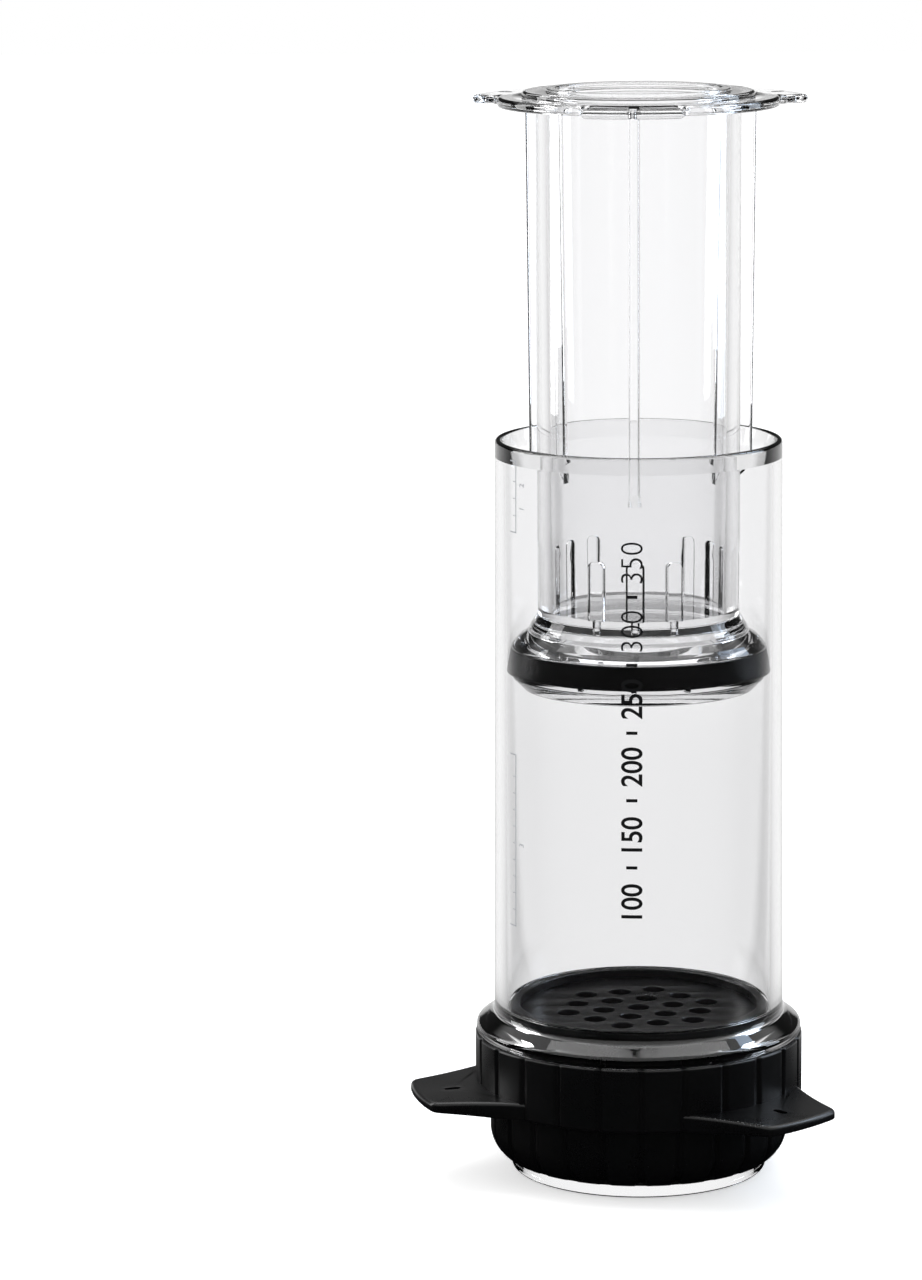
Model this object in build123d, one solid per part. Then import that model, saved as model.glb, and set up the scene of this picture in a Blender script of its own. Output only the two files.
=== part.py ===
from build123d import *
import math
import os

# Piston coffee press. Millimetres, +Z up. The origin is on the axis, on the plane that the
# press stands on. The front is -Y, and angles are counted from the front towards +X.

# Clearances, shared by all the pieces
slide_gap = 0.30
seat_gap = 0.15
turn_gap = 0.10
cut_over = 1.0

# Outlet ring, the clear foot that hangs under the filter cap
outlet_wall = 2.6
outlet_show = 3.5
outlet_sunk = 8.5
outlet_round = 0.9

# Filter cap, the black cup that twists on to the chamber
cap_wall = 2.4
cap_foot_in = 3.4
cap_foot_wall = 1.65
cap_turn_in = 6.5
cap_show = 14.7
cap_above_show = 11.9
cap_web = 5.0
tower_wall = 2.2
grip_count = 24
grip_start = 1.0
grip_groove_r = 0.8
grip_groove_depth = 0.55

# Gasket between the cap's web and the chamber's skirt
gasket_thick = 1.8

# Winged collar, trapped between the chamber's flange and the cap
collar_wall = 3.2
collar_lip = 3.4
collar_edge_round = 0.6
wing_count = 3
wing_turn = 46.0
wing_out = 15.8
wing_tip_half = 11.5
wing_root_half = 21.0
wing_sag_in = 1.0
wing_corner_r = 2.4
wing_root_thick = 3.9
wing_tip_thick = 3.4
wing_bevel = 1.0
wing_slot_out = 7.0

# Slots, the same in a wing and in a finger tab
slot_long = 4.0
slot_wide = 1.8

# Brew chamber, the clear outer tube
bore_r = 31.6
chamber_rim_wall = 2.3
chamber_foot_wall = 3.0
chamber_long = 143.2
lead_in_high = 4.2
lead_in_wide = 0.8
rim_round = 0.5
flange_in = 0.3
flange_thick = 2.1
flange_round = 0.8
flare_high = 3.4
flare_round = 2.0
skirt_step = 0.5
skirt_wall = 1.9
skirt_gap = 0.4
lug_count = 3
lug_arc = 22.0
lug_high = 3.0
lug_above_skirt = 4.0
lug_out = 1.3
lug_turn = 40.0
lug_arc_gap = 2.0

# Filter plate, the black perforated disc on the cap's tower
plate_thick = 2.5
plate_rim_high = 2.1
plate_rim_wide = 2.2
plate_seat_up = 17.5
hole_r = 2.7
hole_pitch = 8.7
hole_turn = 17.5
hole_rows = 5
plate_rib_thick = 1.4
plate_rib_high = 3.0

# Plunger tube, the clear inner tube that holds the water
plunger_gap = 7.7
plunger_mouth_wall = 2.2
plunger_floor_wall = 3.5
plunger_floor_up = 95.7
plunger_floor_thick = 3.0
plunger_long = 120.1
foot_flare_drop = 1.4
foot_waist_out = 2.0
foot_waist_drop = 4.4
foot_step_out = 0.2
foot_step_high = 1.0
foot_shoulder_gap = 1.4
foot_shoulder_drop = 9.0
foot_shoulder_edge = 0.5
foot_bend_in = 1.7
foot_bend_high = 1.65
spigot_wall = 2.4
fin_count = 3
fin_turn = -2.0
fin_thick = 2.3
fin_round = 0.6
fin_top_gap = 0.5
fin_end_gap = 1.4
fin_end_up = 31.0
fin_end_slope = 3.6
groove_group = 3
groove_step = 24.0
groove_wide = 3.8
groove_deep = 1.4
groove_high = 13.9
groove_corner_r = 1.3
port_r = 1.1

# Piston seal, the black silicone ring
seal_high = 5.6
seal_wide = 3.3
seal_spread = 1.0
seal_lip_high = 0.6

# Jet plate, the clear disc that holds the seal from below
jet_gap = 1.6
jet_foot_in = 2.7
jet_thick = 4.3
jet_straight = 1.3
jet_round = 1.0
jet_hub_wall = 2.2
jet_hub_high = 4.6
jet_groove_wide = 1.2
jet_groove_deep = 0.8

# Finger flange, the clear ring with three tabs on the top of the plunger
finger_thick = 2.3
finger_socket_deep = 2.0
finger_boss_out = 3.3
finger_boss_high = 1.4
finger_lip_high = 0.6
finger_lip_wide = 2.4
finger_plate_wide = 5.8
finger_mouth_in = 2.5
finger_round = 0.9
tab_out = 7.6
tab_end_half = 11.5
tab_root_half = 13.8
tab_sag_in = 0.5
tab_corner_r = 2.2
tab_bevel = 0.7
tab_slot_out = 4.0

# Heights, from the standing plane up
cap_foot_z = outlet_show
outlet_top_z = cap_foot_z + outlet_sunk
collar_foot_z = cap_foot_z + cap_show
cap_top_z = collar_foot_z + cap_above_show
flange_foot_z = cap_top_z + collar_lip
flange_top_z = flange_foot_z + flange_thick
flare_top_z = flange_top_z + flare_high
rim_z = flange_foot_z + chamber_long
gasket_foot_z = outlet_top_z + cap_web
skirt_foot_z = gasket_foot_z + gasket_thick
plate_seat_z = skirt_foot_z + plate_seat_up
plate_top_z = plate_seat_z + plate_thick
plate_rim_z = plate_top_z + plate_rim_high
floor_z = plate_rim_z + plunger_floor_up
plunger_top_z = floor_z + plunger_long
shoulder_z = floor_z - foot_shoulder_drop
seal_foot_z = shoulder_z - seal_high
jet_foot_z = seal_foot_z - jet_thick
finger_foot_z = plunger_top_z - finger_socket_deep
finger_top_z = finger_foot_z + finger_thick
lug_foot_z = skirt_foot_z + lug_above_skirt
lug_top_z = lug_foot_z + lug_high

# Radii, each from what it fits, outwards and inwards from the chamber's bore
chamber_rim_r = bore_r + chamber_rim_wall
chamber_foot_r = bore_r + chamber_foot_wall
skirt_bore_r = bore_r - skirt_step
skirt_r = skirt_bore_r + skirt_wall
lug_r = skirt_r + lug_out
cap_bore_r = skirt_r + slide_gap
cap_r = cap_bore_r + cap_wall
cap_foot_r = cap_r - cap_foot_in
outlet_r = cap_foot_r - cap_foot_wall - seat_gap
tower_r = skirt_bore_r - skirt_gap
tower_bore_r = tower_r - tower_wall
collar_bore_r = cap_r + slide_gap
collar_r = collar_bore_r + collar_wall
flange_r = collar_r - flange_in
wing_reach = collar_r + wing_out
wing_slot_at = collar_r + wing_slot_out
seal_lip_r = bore_r - slide_gap
seal_top_r = seal_lip_r - seal_spread
spigot_r = seal_top_r - seal_wide
spigot_bore_r = spigot_r - spigot_wall
foot_shoulder_r = bore_r - foot_shoulder_gap
jet_r = bore_r - jet_gap
jet_foot_r = jet_r - jet_foot_in
plunger_r = bore_r - plunger_gap
plunger_mouth_bore_r = plunger_r - plunger_mouth_wall
plunger_floor_bore_r = plunger_r - plunger_floor_wall
foot_waist_r = plunger_r + foot_waist_out
fin_top_r = bore_r - fin_top_gap
fin_end_r = bore_r - fin_end_gap
socket_r = plunger_r + turn_gap
finger_boss_r = plunger_r + finger_boss_out
finger_r = finger_boss_r + finger_plate_wide
finger_mouth_r = plunger_mouth_bore_r - finger_mouth_in
tab_reach = finger_r + tab_out
tab_slot_at = finger_r + tab_slot_out


def at(angle, radius, height):
    """A point at an angle from the front, a distance from the axis and a height."""
    turn = math.radians(angle)
    return (radius * math.sin(turn), -radius * math.cos(turn), height)


def facing(angle):
    """Turns a piece that was drawn along +X so that it points at an angle from the front."""
    return Rot(0, 0, angle - 90)


def outline(points):
    """A flat closed shape through points."""
    return make_face(Polyline(*points, close=True))


def rounded(shape, point, radius):
    """A flat shape with the corner at a point rounded."""
    corner = shape.vertices().sort_by_distance((*point, 0))[0]
    return fillet(corner, radius)


def turned(points, rounds=()):
    """A solid turned about Z from (radius, height) points, some of its corners rounded."""
    shape = outline(points)
    for place, radius in rounds:
        shape = rounded(shape, points[place], radius)
    return revolve(Plane.XZ * shape, Axis.Z)


def sector(inner, outer, foot, top, middle, arc):
    """A piece of a ring, arc degrees wide about the middle angle."""
    section = outline([(inner, foot), (outer, foot), (outer, top), (inner, top)])
    return facing(middle - arc / 2) * revolve(Plane.XZ * section, Axis.Z, arc)


def tongue(buried, root_half, reach, tip_half, sag_in, corner_r):
    """The plan of a wing or a tab along +X: concave sides, a round tip and rounded corners."""
    root_x = math.sqrt(buried**2 - root_half**2)
    tip_x = math.sqrt(reach**2 - tip_half**2)
    side = math.hypot(tip_x - root_x, root_half - tip_half)
    middle_x = (root_x + tip_x) / 2 - sag_in * (root_half - tip_half) / side
    middle_y = (root_half + tip_half) / 2 - sag_in * (tip_x - root_x) / side
    plan = make_face(
        ThreePointArc((root_x, -root_half), (buried, 0), (root_x, root_half))
        + ThreePointArc((root_x, root_half), (middle_x, middle_y), (tip_x, tip_half))
        + ThreePointArc((tip_x, tip_half), (reach, 0), (tip_x, -tip_half))
        + ThreePointArc((tip_x, -tip_half), (middle_x, -middle_y), (root_x, -root_half))
    )
    for end in (tip_half, -tip_half):
        plan = rounded(plan, (tip_x, end), corner_r)
    return plan


def slot_cut(place, foot, top):
    """A round-ended slot that runs outwards along +X, to be cut away."""
    return Pos(place, 0, foot) * extrude(SlotOverall(slot_long, slot_wide), top - foot)


def make_outlet_ring():
    """A short clear ring. Its upper end sits against the web inside the filter cap."""
    inner = outlet_r - outlet_wall
    points = [(inner, 0), (outlet_r, 0), (outlet_r, outlet_top_z), (inner, outlet_top_z)]
    return turned(points, [(1, outlet_round)])


def cap_bend():
    """How far the cap's outside bends in at its foot, in radians, and the bend's radius."""
    turn = 2 * math.atan((cap_r - cap_foot_r) / cap_turn_in)
    return turn, cap_turn_in / math.sin(turn)


def on_cap_bend(share, out):
    """A point on the bend, share of the way down it, moved outwards by out."""
    turn, radius = cap_bend()
    angle = turn * share
    return (
        cap_r - radius + (radius + out) * math.cos(angle),
        cap_foot_z + cap_turn_in - (radius + out) * math.sin(angle),
    )


def cap_grip_tool():
    """A round bar that follows the cap's outside, to be cut away at each grip line."""
    turn, _ = cap_bend()
    out = grip_groove_r - grip_groove_depth
    low = on_cap_bend(1, out)
    run_out = (low[0] - cut_over * math.sin(turn), low[1] - cut_over * math.cos(turn))
    high = on_cap_bend(0, out)
    top = (high[0], collar_foot_z + cut_over)
    path = Line(top, high) + ThreePointArc(high, on_cap_bend(1 / 2, out), low) + Line(low, run_out)
    start = Plane(origin=(top[0], 0, top[1]), z_dir=(0, 0, -1))
    return sweep(start * Circle(grip_groove_r), path=Plane.XZ * path)


def make_filter_cap():
    """A ribbed cup with a web, a tower for the filter plate and three bayonet tracks."""
    foot_bore = outlet_r + seat_gap
    foot = on_cap_bend(1, 0)
    shoulder = on_cap_bend(0, 0)
    section = make_face(
        ThreePointArc(foot, on_cap_bend(1 / 2, 0), shoulder)
        + Polyline(
            shoulder,
            (cap_r, cap_top_z),
            (cap_bore_r, cap_top_z),
            (cap_bore_r, gasket_foot_z),
            (tower_r, gasket_foot_z),
            (tower_r, plate_seat_z),
            (tower_bore_r, plate_seat_z),
            (tower_bore_r, outlet_top_z),
            (foot_bore, outlet_top_z),
            (foot_bore, cap_foot_z),
            foot,
        )
    )
    cap = revolve(Plane.XZ * section, Axis.Z)
    tool = cap_grip_tool()
    for step in range(grip_count):
        cap -= facing(grip_start + step * 360 / grip_count) * tool
    track_bore = tower_r + slide_gap
    track_r = lug_r + slide_gap
    track_foot = lug_foot_z - slide_gap
    track_top = lug_top_z + slide_gap
    way_in = lug_arc + lug_arc_gap
    for step in range(lug_count):
        locked = step * 360 / lug_count
        middle = locked - lug_turn / 2
        cap -= sector(track_bore, track_r, track_foot, track_top, middle, way_in + lug_turn)
        entry = locked - lug_turn
        cap -= sector(track_bore, track_r, track_foot, cap_top_z + cut_over, entry, way_in)
    return cap


def make_chamber_gasket():
    """A flat silicone ring in the well between the cap's wall and its tower."""
    return turned(
        [
            (skirt_bore_r, gasket_foot_z),
            (skirt_r, gasket_foot_z),
            (skirt_r, skirt_foot_z),
            (skirt_bore_r, skirt_foot_z),
        ]
    )


def wing():
    """One wing along +X: a plate that thins outwards, bevelled on top, with a small slot."""
    wall_middle = (collar_bore_r + collar_r) / 2
    plan = tongue(
        wall_middle, wing_root_half, wing_reach, wing_tip_half, wing_sag_in, wing_corner_r
    )
    inner = math.sqrt(wall_middle**2 - wing_root_half**2) - cut_over
    outer = wing_reach + cut_over
    slope = (wing_root_thick - wing_tip_thick) / (wing_reach - collar_r)
    side_view = outline(
        [
            (inner, collar_foot_z),
            (outer, collar_foot_z),
            (outer, collar_foot_z + wing_tip_thick - slope * cut_over),
            (collar_r, collar_foot_z + wing_root_thick),
            (inner, collar_foot_z + wing_root_thick),
        ]
    )
    half = wing_root_half + cut_over
    slab = Pos(0, half, 0) * extrude(Plane.XZ * side_view, 2 * half)
    plate = (Pos(0, 0, collar_foot_z) * extrude(plan, wing_root_thick)) & slab
    top_face = [face for face in plate.faces() if abs(face.normal_at().X) > slope / 2]
    top_face = max(top_face, key=lambda face: face.normal_at().Z)
    free_edges = [edge for edge in top_face.edges() if edge.center().X > collar_r]
    plate = chamfer(free_edges, wing_bevel)
    return plate - slot_cut(wing_slot_at, collar_foot_z - cut_over, cap_top_z)


def make_winged_collar():
    """A ribbed ring with a lip at its top, and three wings that rest on a mug's rim."""
    lip_bore = skirt_r + skirt_gap
    collar = turned(
        [
            (collar_bore_r, collar_foot_z),
            (collar_r, collar_foot_z),
            (collar_r, flange_foot_z),
            (lip_bore, flange_foot_z),
            (lip_bore, cap_top_z),
            (collar_bore_r, cap_top_z),
        ],
        [(1, collar_edge_round), (2, collar_edge_round)],
    )
    bar_foot = collar_foot_z - cut_over
    bar = extrude(Circle(grip_groove_r), flange_foot_z + cut_over - bar_foot)
    bar_at = collar_r + grip_groove_r - grip_groove_depth
    for step in range(grip_count):
        angle = grip_start + step * 360 / grip_count
        collar -= Pos(*at(angle, bar_at, bar_foot)) * bar
    plate = wing()
    for step in range(wing_count):
        collar += facing(wing_turn + step * 360 / wing_count) * plate
    return collar


def make_brew_chamber():
    """A clear tube with a foot flange, a skirt below it and three bayonet lugs."""
    chamber = turned(
        [
            (skirt_bore_r, skirt_foot_z),
            (skirt_r, skirt_foot_z),
            (skirt_r, flange_foot_z),
            (flange_r, flange_foot_z),
            (flange_r, flange_top_z),
            (chamber_foot_r, flare_top_z),
            (chamber_rim_r, rim_z),
            (bore_r + lead_in_wide, rim_z),
            (bore_r, rim_z - lead_in_high),
            (bore_r, plate_rim_z),
            (skirt_bore_r, plate_rim_z - (bore_r - skirt_bore_r)),
        ],
        [(3, flange_round), (4, flange_round), (5, flare_round), (6, rim_round)],
    )
    buried = skirt_r - skirt_wall / 2
    for step in range(lug_count):
        middle = step * 360 / lug_count
        chamber += sector(buried, lug_r, lug_foot_z, lug_top_z, middle, lug_arc)
    return chamber


def row_offset(row):
    """How far a row of holes, or a gap between two rows, lies from the plate's middle."""
    return row * hole_pitch * math.sin(math.pi / 3)


def hole_places():
    """The middles of the holes, in rows of 3, 4, 5, 4 and 3 on a triangular pitch."""
    half = hole_rows // 2
    places = []
    for row in range(-half, half + 1):
        count = hole_rows - abs(row)
        for step in range(count):
            places.append(((step - (count - 1) / 2) * hole_pitch, row_offset(row)))
    return places


def make_filter_plate():
    """A disc with a raised rim and round holes, stiffened by ribs between the rows below."""
    rim_bore = tower_r - plate_rim_wide
    plate = turned(
        [
            (0, plate_seat_z),
            (tower_r, plate_seat_z),
            (tower_r, plate_rim_z),
            (rim_bore, plate_rim_z),
            (rim_bore, plate_top_z),
            (0, plate_top_z),
        ]
    )
    rib_ring = tower_bore_r - slide_gap
    pattern = Rot(0, 0, hole_turn)
    rib_count = hole_rows - 1
    for step in range(rib_count):
        offset = row_offset(step - (rib_count - 1) / 2)
        rib_long = 2 * math.sqrt(rib_ring**2 - (abs(offset) + plate_rib_thick / 2) ** 2)
        rib = Box(rib_long, plate_rib_thick, plate_rib_high)
        plate += pattern * Pos(0, offset, plate_seat_z - plate_rib_high / 2) * rib
    drill = Pos(0, 0, plate_seat_z - cut_over) * extrude(Circle(hole_r), plate_thick + 2 * cut_over)
    for place in hole_places():
        plate -= pattern * Pos(*place, 0) * drill
    return plate


def fin():
    """One guide fin along +X, from under the finger flange down to a sloping end."""
    root = plunger_r - (plunger_r - plunger_mouth_bore_r) / 2
    end_z = floor_z + fin_end_up
    side_view = outline(
        [
            (root, end_z - fin_end_slope),
            (plunger_r, end_z - fin_end_slope),
            (fin_end_r, end_z),
            (fin_top_r, finger_foot_z),
            (root, finger_foot_z),
        ]
    )
    plate = Pos(0, fin_thick / 2, 0) * extrude(Plane.XZ * side_view, fin_thick)
    tip_edges = [edge for edge in plate.edges() if edge.center().X > (fin_end_r + plunger_r) / 2]
    tip_edges = [edge for edge in tip_edges if edge.length > fin_thick + cut_over]
    return fillet(tip_edges, fin_round)


def groove_angles():
    """The angles of the grooves: a group at each fin, one of them in line with it."""
    angles = []
    for turn in range(fin_count):
        for step in range(groove_group):
            aside = (step - (groove_group - 1) / 2) * groove_step
            angles.append(fin_turn + turn * 360 / fin_count + aside)
    return angles


def wall_groove():
    """A groove in the tube's inner wall along +X, with a rounded top and a port at its foot."""
    groove_r = plunger_floor_bore_r + groove_deep
    half = groove_wide / 2
    top_z = floor_z + groove_high
    face = outline([(-half, floor_z), (half, floor_z), (half, top_z), (-half, top_z)])
    for side in (-half, half):
        face = rounded(face, (side, top_z), groove_corner_r)
    inner = plunger_floor_bore_r - groove_deep
    groove = Pos(inner, 0, 0) * extrude(Plane.YZ * face, groove_r - inner)
    port_at = groove_r - port_r
    port_foot = floor_z - plunger_floor_thick - cut_over
    port = Pos(port_at, 0, port_foot) * extrude(Circle(port_r), floor_z + port_r - port_foot)
    return groove + port


def make_plunger_tube():
    """A clear tube with a floor, a flared foot, a spigot for the seal and three fins."""
    under_floor = floor_z - plunger_floor_thick
    edge_z = shoulder_z + foot_shoulder_edge
    tube = turned(
        [
            (0, floor_z),
            (plunger_floor_bore_r, floor_z),
            (plunger_mouth_bore_r, plunger_top_z),
            (plunger_r, plunger_top_z),
            (plunger_r, floor_z - foot_flare_drop),
            (foot_waist_r, floor_z - foot_waist_drop),
            (foot_waist_r + foot_step_out, floor_z - foot_waist_drop - foot_step_high),
            (foot_shoulder_r - foot_bend_in, edge_z + foot_bend_high),
            (foot_shoulder_r, edge_z),
            (foot_shoulder_r, shoulder_z),
            (spigot_r, shoulder_z),
            (spigot_r, seal_foot_z),
            (spigot_bore_r, seal_foot_z),
            (spigot_bore_r, under_floor),
            (0, under_floor),
        ]
    )
    plate = fin()
    for step in range(fin_count):
        tube += facing(fin_turn + step * 360 / fin_count) * plate
    groove = wall_groove()
    for angle in groove_angles():
        tube -= facing(angle) * groove
    return tube


def make_piston_seal():
    """A black ring that widens to a sharp lip at its lower edge."""
    bore = spigot_r + turn_gap
    return turned(
        [
            (bore, seal_foot_z),
            (seal_lip_r - seal_lip_high / 2, seal_foot_z),
            (seal_lip_r, seal_foot_z + seal_lip_high),
            (seal_top_r, shoulder_z),
            (bore, shoulder_z),
        ]
    )


def make_jet_plate():
    """A clear disc with a hub inside the spigot and a ring of water grooves on its top."""
    hub_r = spigot_bore_r - seat_gap
    hub_bore = hub_r - jet_hub_wall
    plate = turned(
        [
            (0, jet_foot_z),
            (jet_foot_r, jet_foot_z),
            (jet_r, seal_foot_z - jet_straight),
            (jet_r, seal_foot_z),
            (hub_r, seal_foot_z),
            (hub_r, seal_foot_z + jet_hub_high),
            (hub_bore, seal_foot_z + jet_hub_high),
            (hub_bore, seal_foot_z),
            (0, seal_foot_z),
        ],
        [(1, jet_round), (2, jet_round)],
    )
    groove_long = jet_r + cut_over - (hub_bore - jet_groove_wide)
    groove = Box(groove_long, jet_groove_wide, jet_groove_deep)
    groove_at = jet_r + cut_over - groove_long / 2
    groove = Pos(groove_at, 0, seal_foot_z - jet_groove_deep / 2) * groove
    for angle in groove_angles():
        plate -= facing(angle) * groove
    return plate


def make_finger_flange():
    """A clear ring over the tube's top end, with a raised mouth and three finger tabs."""
    boss_z = finger_top_z + finger_boss_high
    lip_z = boss_z + finger_lip_high
    flange = turned(
        [
            (socket_r, finger_foot_z),
            (finger_r, finger_foot_z),
            (finger_r, finger_top_z),
            (finger_boss_r, finger_top_z),
            (finger_boss_r, boss_z),
            (finger_mouth_r + finger_lip_wide, boss_z),
            (finger_mouth_r + finger_lip_wide, lip_z),
            (finger_mouth_r, lip_z),
            (finger_mouth_r, plunger_top_z),
            (socket_r, plunger_top_z),
        ],
        [(1, finger_round), (2, finger_round), (4, finger_round), (6, finger_lip_high / 2)],
    )
    plan = tongue(
        (finger_boss_r + finger_r) / 2, tab_root_half, tab_reach, tab_end_half, tab_sag_in, tab_corner_r
    )
    tab = Pos(0, 0, finger_foot_z) * extrude(plan, finger_thick)
    level_edges = [edge for edge in tab.edges() if abs((edge @ 0).Z - (edge @ 1).Z) < tab_bevel]
    middles = [edge.center() for edge in level_edges]
    free_edges = [
        edge for edge, middle in zip(level_edges, middles) if math.hypot(middle.X, middle.Y) > finger_r
    ]
    tab = chamfer(free_edges, tab_bevel)
    tab -= slot_cut(tab_slot_at, finger_foot_z - cut_over, finger_top_z + cut_over)
    for step in range(fin_count):
        flange += facing(fin_turn + step * 360 / fin_count) * tab
    return flange


pieces = {
    "outlet_ring": make_outlet_ring(),
    "filter_cap": make_filter_cap(),
    "chamber_gasket": make_chamber_gasket(),
    "filter_plate": make_filter_plate(),
    "winged_collar": make_winged_collar(),
    "brew_chamber": make_brew_chamber(),
    "plunger_tube": make_plunger_tube(),
    "piston_seal": make_piston_seal(),
    "jet_plate": make_jet_plate(),
    "finger_flange": make_finger_flange(),
}

os.makedirs("parts", exist_ok=True)
for name, piece in pieces.items():
    export_step(piece, f"parts/{name}.step")
    print(name, len(piece.solids()), round(piece.volume))
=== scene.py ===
# %% [markdown]
# # A piston coffee press in clear and black plastic
#
# Nearly everything in this press is shaped round one upright axis: two clear tubes, a clear
# finger flange, a black collar with three wings, a ribbed black cap and a black silicone
# seal. Water-clear plastic shows every flaw of its mesh, because light bends at each facet.
# So each piece here is a smooth surface worked out from a formula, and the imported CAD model
# stays underneath to carry the motion.

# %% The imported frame
import math
import bmesh
import bpy
import numpy as np
from mathutils import Matrix, Vector


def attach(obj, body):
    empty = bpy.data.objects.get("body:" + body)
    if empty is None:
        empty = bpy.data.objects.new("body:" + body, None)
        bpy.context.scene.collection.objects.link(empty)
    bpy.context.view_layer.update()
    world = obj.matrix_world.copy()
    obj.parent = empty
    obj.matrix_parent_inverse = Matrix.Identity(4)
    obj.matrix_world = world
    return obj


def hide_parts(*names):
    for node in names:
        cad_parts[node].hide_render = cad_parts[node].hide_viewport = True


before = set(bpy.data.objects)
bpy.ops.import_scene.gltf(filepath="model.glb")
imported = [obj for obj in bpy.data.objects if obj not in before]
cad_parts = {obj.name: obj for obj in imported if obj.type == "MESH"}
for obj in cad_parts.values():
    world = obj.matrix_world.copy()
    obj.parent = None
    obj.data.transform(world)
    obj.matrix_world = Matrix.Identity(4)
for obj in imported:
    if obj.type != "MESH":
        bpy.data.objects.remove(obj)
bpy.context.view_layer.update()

# %% [markdown]
# The camera stands where the photographer's did: well back with a long lens, looking down by
# ten degrees. The press stands right of the middle of the picture. Turning the camera about
# its own upright axis moves the press sideways and keeps the press's axis vertical, where a
# turn about the world's axis would make it lean.

# %% The camera
MM = 0.001
IMAGE_TALL = 1280
FOCAL_PIXELS = 5040
AXIS_ASIDE_PIXELS = 177.5
AIM_HEIGHT = 128.33 * MM
CAMERA_AWAY = 1196.3 * MM
LOOK_DOWN = math.radians(10.45)
AIM_ASIDE = math.atan(AXIS_ASIDE_PIXELS / FOCAL_PIXELS)

camera_data = bpy.data.cameras.new("camera")
camera_data.sensor_width = 36
camera_data.lens = FOCAL_PIXELS / IMAGE_TALL * camera_data.sensor_width
camera_data.clip_start = 0.05
camera_data.clip_end = 50
camera = bpy.data.objects.new("camera", camera_data)
camera.location = (
    0,
    -CAMERA_AWAY * math.cos(LOOK_DOWN),
    AIM_HEIGHT + CAMERA_AWAY * math.sin(LOOK_DOWN),
)
aim = Matrix.Rotation(math.pi / 2 - LOOK_DOWN, 3, "X") @ Matrix.Rotation(AIM_ASIDE, 3, "Y")
camera.rotation_euler = aim.to_euler()
bpy.context.scene.collection.objects.link(camera)
bpy.context.scene.camera = camera
bpy.context.scene.view_settings.view_transform = "Standard"
print("lens", round(camera_data.lens, 1), "mm")

# %% [markdown]
# Node trees are drawn by hand in Blender's editor, but here they are built in code, so a few
# small helpers keep them readable: one makes a node group with named sockets, and the others
# add a Math node, a smooth step, a mixture of two values or a whole group.

# %% Helpers for node trees


def node_group(name, inputs, outputs):
    """An empty node group with named sockets, and its input and output nodes."""
    tree = bpy.data.node_groups.new(name, "ShaderNodeTree")
    for title, kind in inputs:
        tree.interface.new_socket(title, in_out="INPUT", socket_type=kind)
    for title, kind in outputs:
        tree.interface.new_socket(title, in_out="OUTPUT", socket_type=kind)
    return tree, tree.nodes.new("NodeGroupInput"), tree.nodes.new("NodeGroupOutput")


def feed(tree, socket, value):
    """Sets a socket to a number or colour, or links another node's output to it."""
    if isinstance(value, bpy.types.NodeSocket):
        tree.links.new(value, socket)
    else:
        socket.default_value = value


def maths(tree, kind, *values):
    """A Math node with numbers or sockets as its inputs. Returns its output."""
    node = tree.nodes.new("ShaderNodeMath")
    node.operation = kind
    for socket, value in zip(node.inputs, values):
        feed(tree, socket, value)
    return node.outputs[0]


def smooth_step(tree, value, low, high, at_low=0.0, at_high=1.0):
    """A value that goes smoothly from at_low, below low, to at_high, above high."""
    node = tree.nodes.new("ShaderNodeMapRange")
    node.interpolation_type = "SMOOTHSTEP"
    for title, part in zip(
        ("Value", "From Min", "From Max", "To Min", "To Max"), (value, low, high, at_low, at_high)
    ):
        feed(tree, node.inputs[title], part)
    return node.outputs["Result"]


def mixed(tree, share, first, second):
    """A value that is first where share is 0 and second where it is 1."""
    change = maths(tree, "MULTIPLY", share, maths(tree, "SUBTRACT", second, first))
    return maths(tree, "ADD", first, change)


def placed(tree, group, **values):
    """A node group placed in a tree, with its inputs set."""
    node = tree.nodes.new("ShaderNodeGroup")
    node.node_tree = group
    for title, value in values.items():
        feed(tree, node.inputs[title], value)
    return node


print("helpers ready")

# %% [markdown]
# A press like this is photographed in front of a bright white sweep, in a dim room. Light that
# passes nearly straight through the clear walls comes from the sweep, so they look clear.
# Light that a groove, a rim or an edge has thrown back inside the plastic comes from the dim
# room, and those thin dark lines are what draws clear plastic: in a world that is white all
# round it would vanish. Light Path tells the two apart, because its Glossy Depth counts how
# often light was reflected on its way. Its Transmission Depth counts the surfaces that light
# went through: light that crossed both tubes gets a bright ceiling as well, or the place
# where they overlap would turn grey. Faint grey cards every 45 degrees also mark the tubes'
# edges, placed so that the common views have none straight behind the tubes.

# %% The studio's light by direction, as a node group
CARD_STEP = 45.0
CARD_HALF = 5.0
CARD_SOFT = 2.5
CARD_LIGHT = 0.72
# Where a smooth step begins, where it ends, and the light at both
CEILING = (0.75, 0.92, 1.0, 0.05)
ROOM_BACK = (0.25, 0.92, 0.03, 1.0)
ROOM_CEILING = (0.03, 0.12, 1.0, 0.05)
SOFTBOX = (0.42, 0.56, 0.0, 1.0)
BOTH_TUBES = (4.5, 5.5, 0.0, 1.0)

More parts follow.
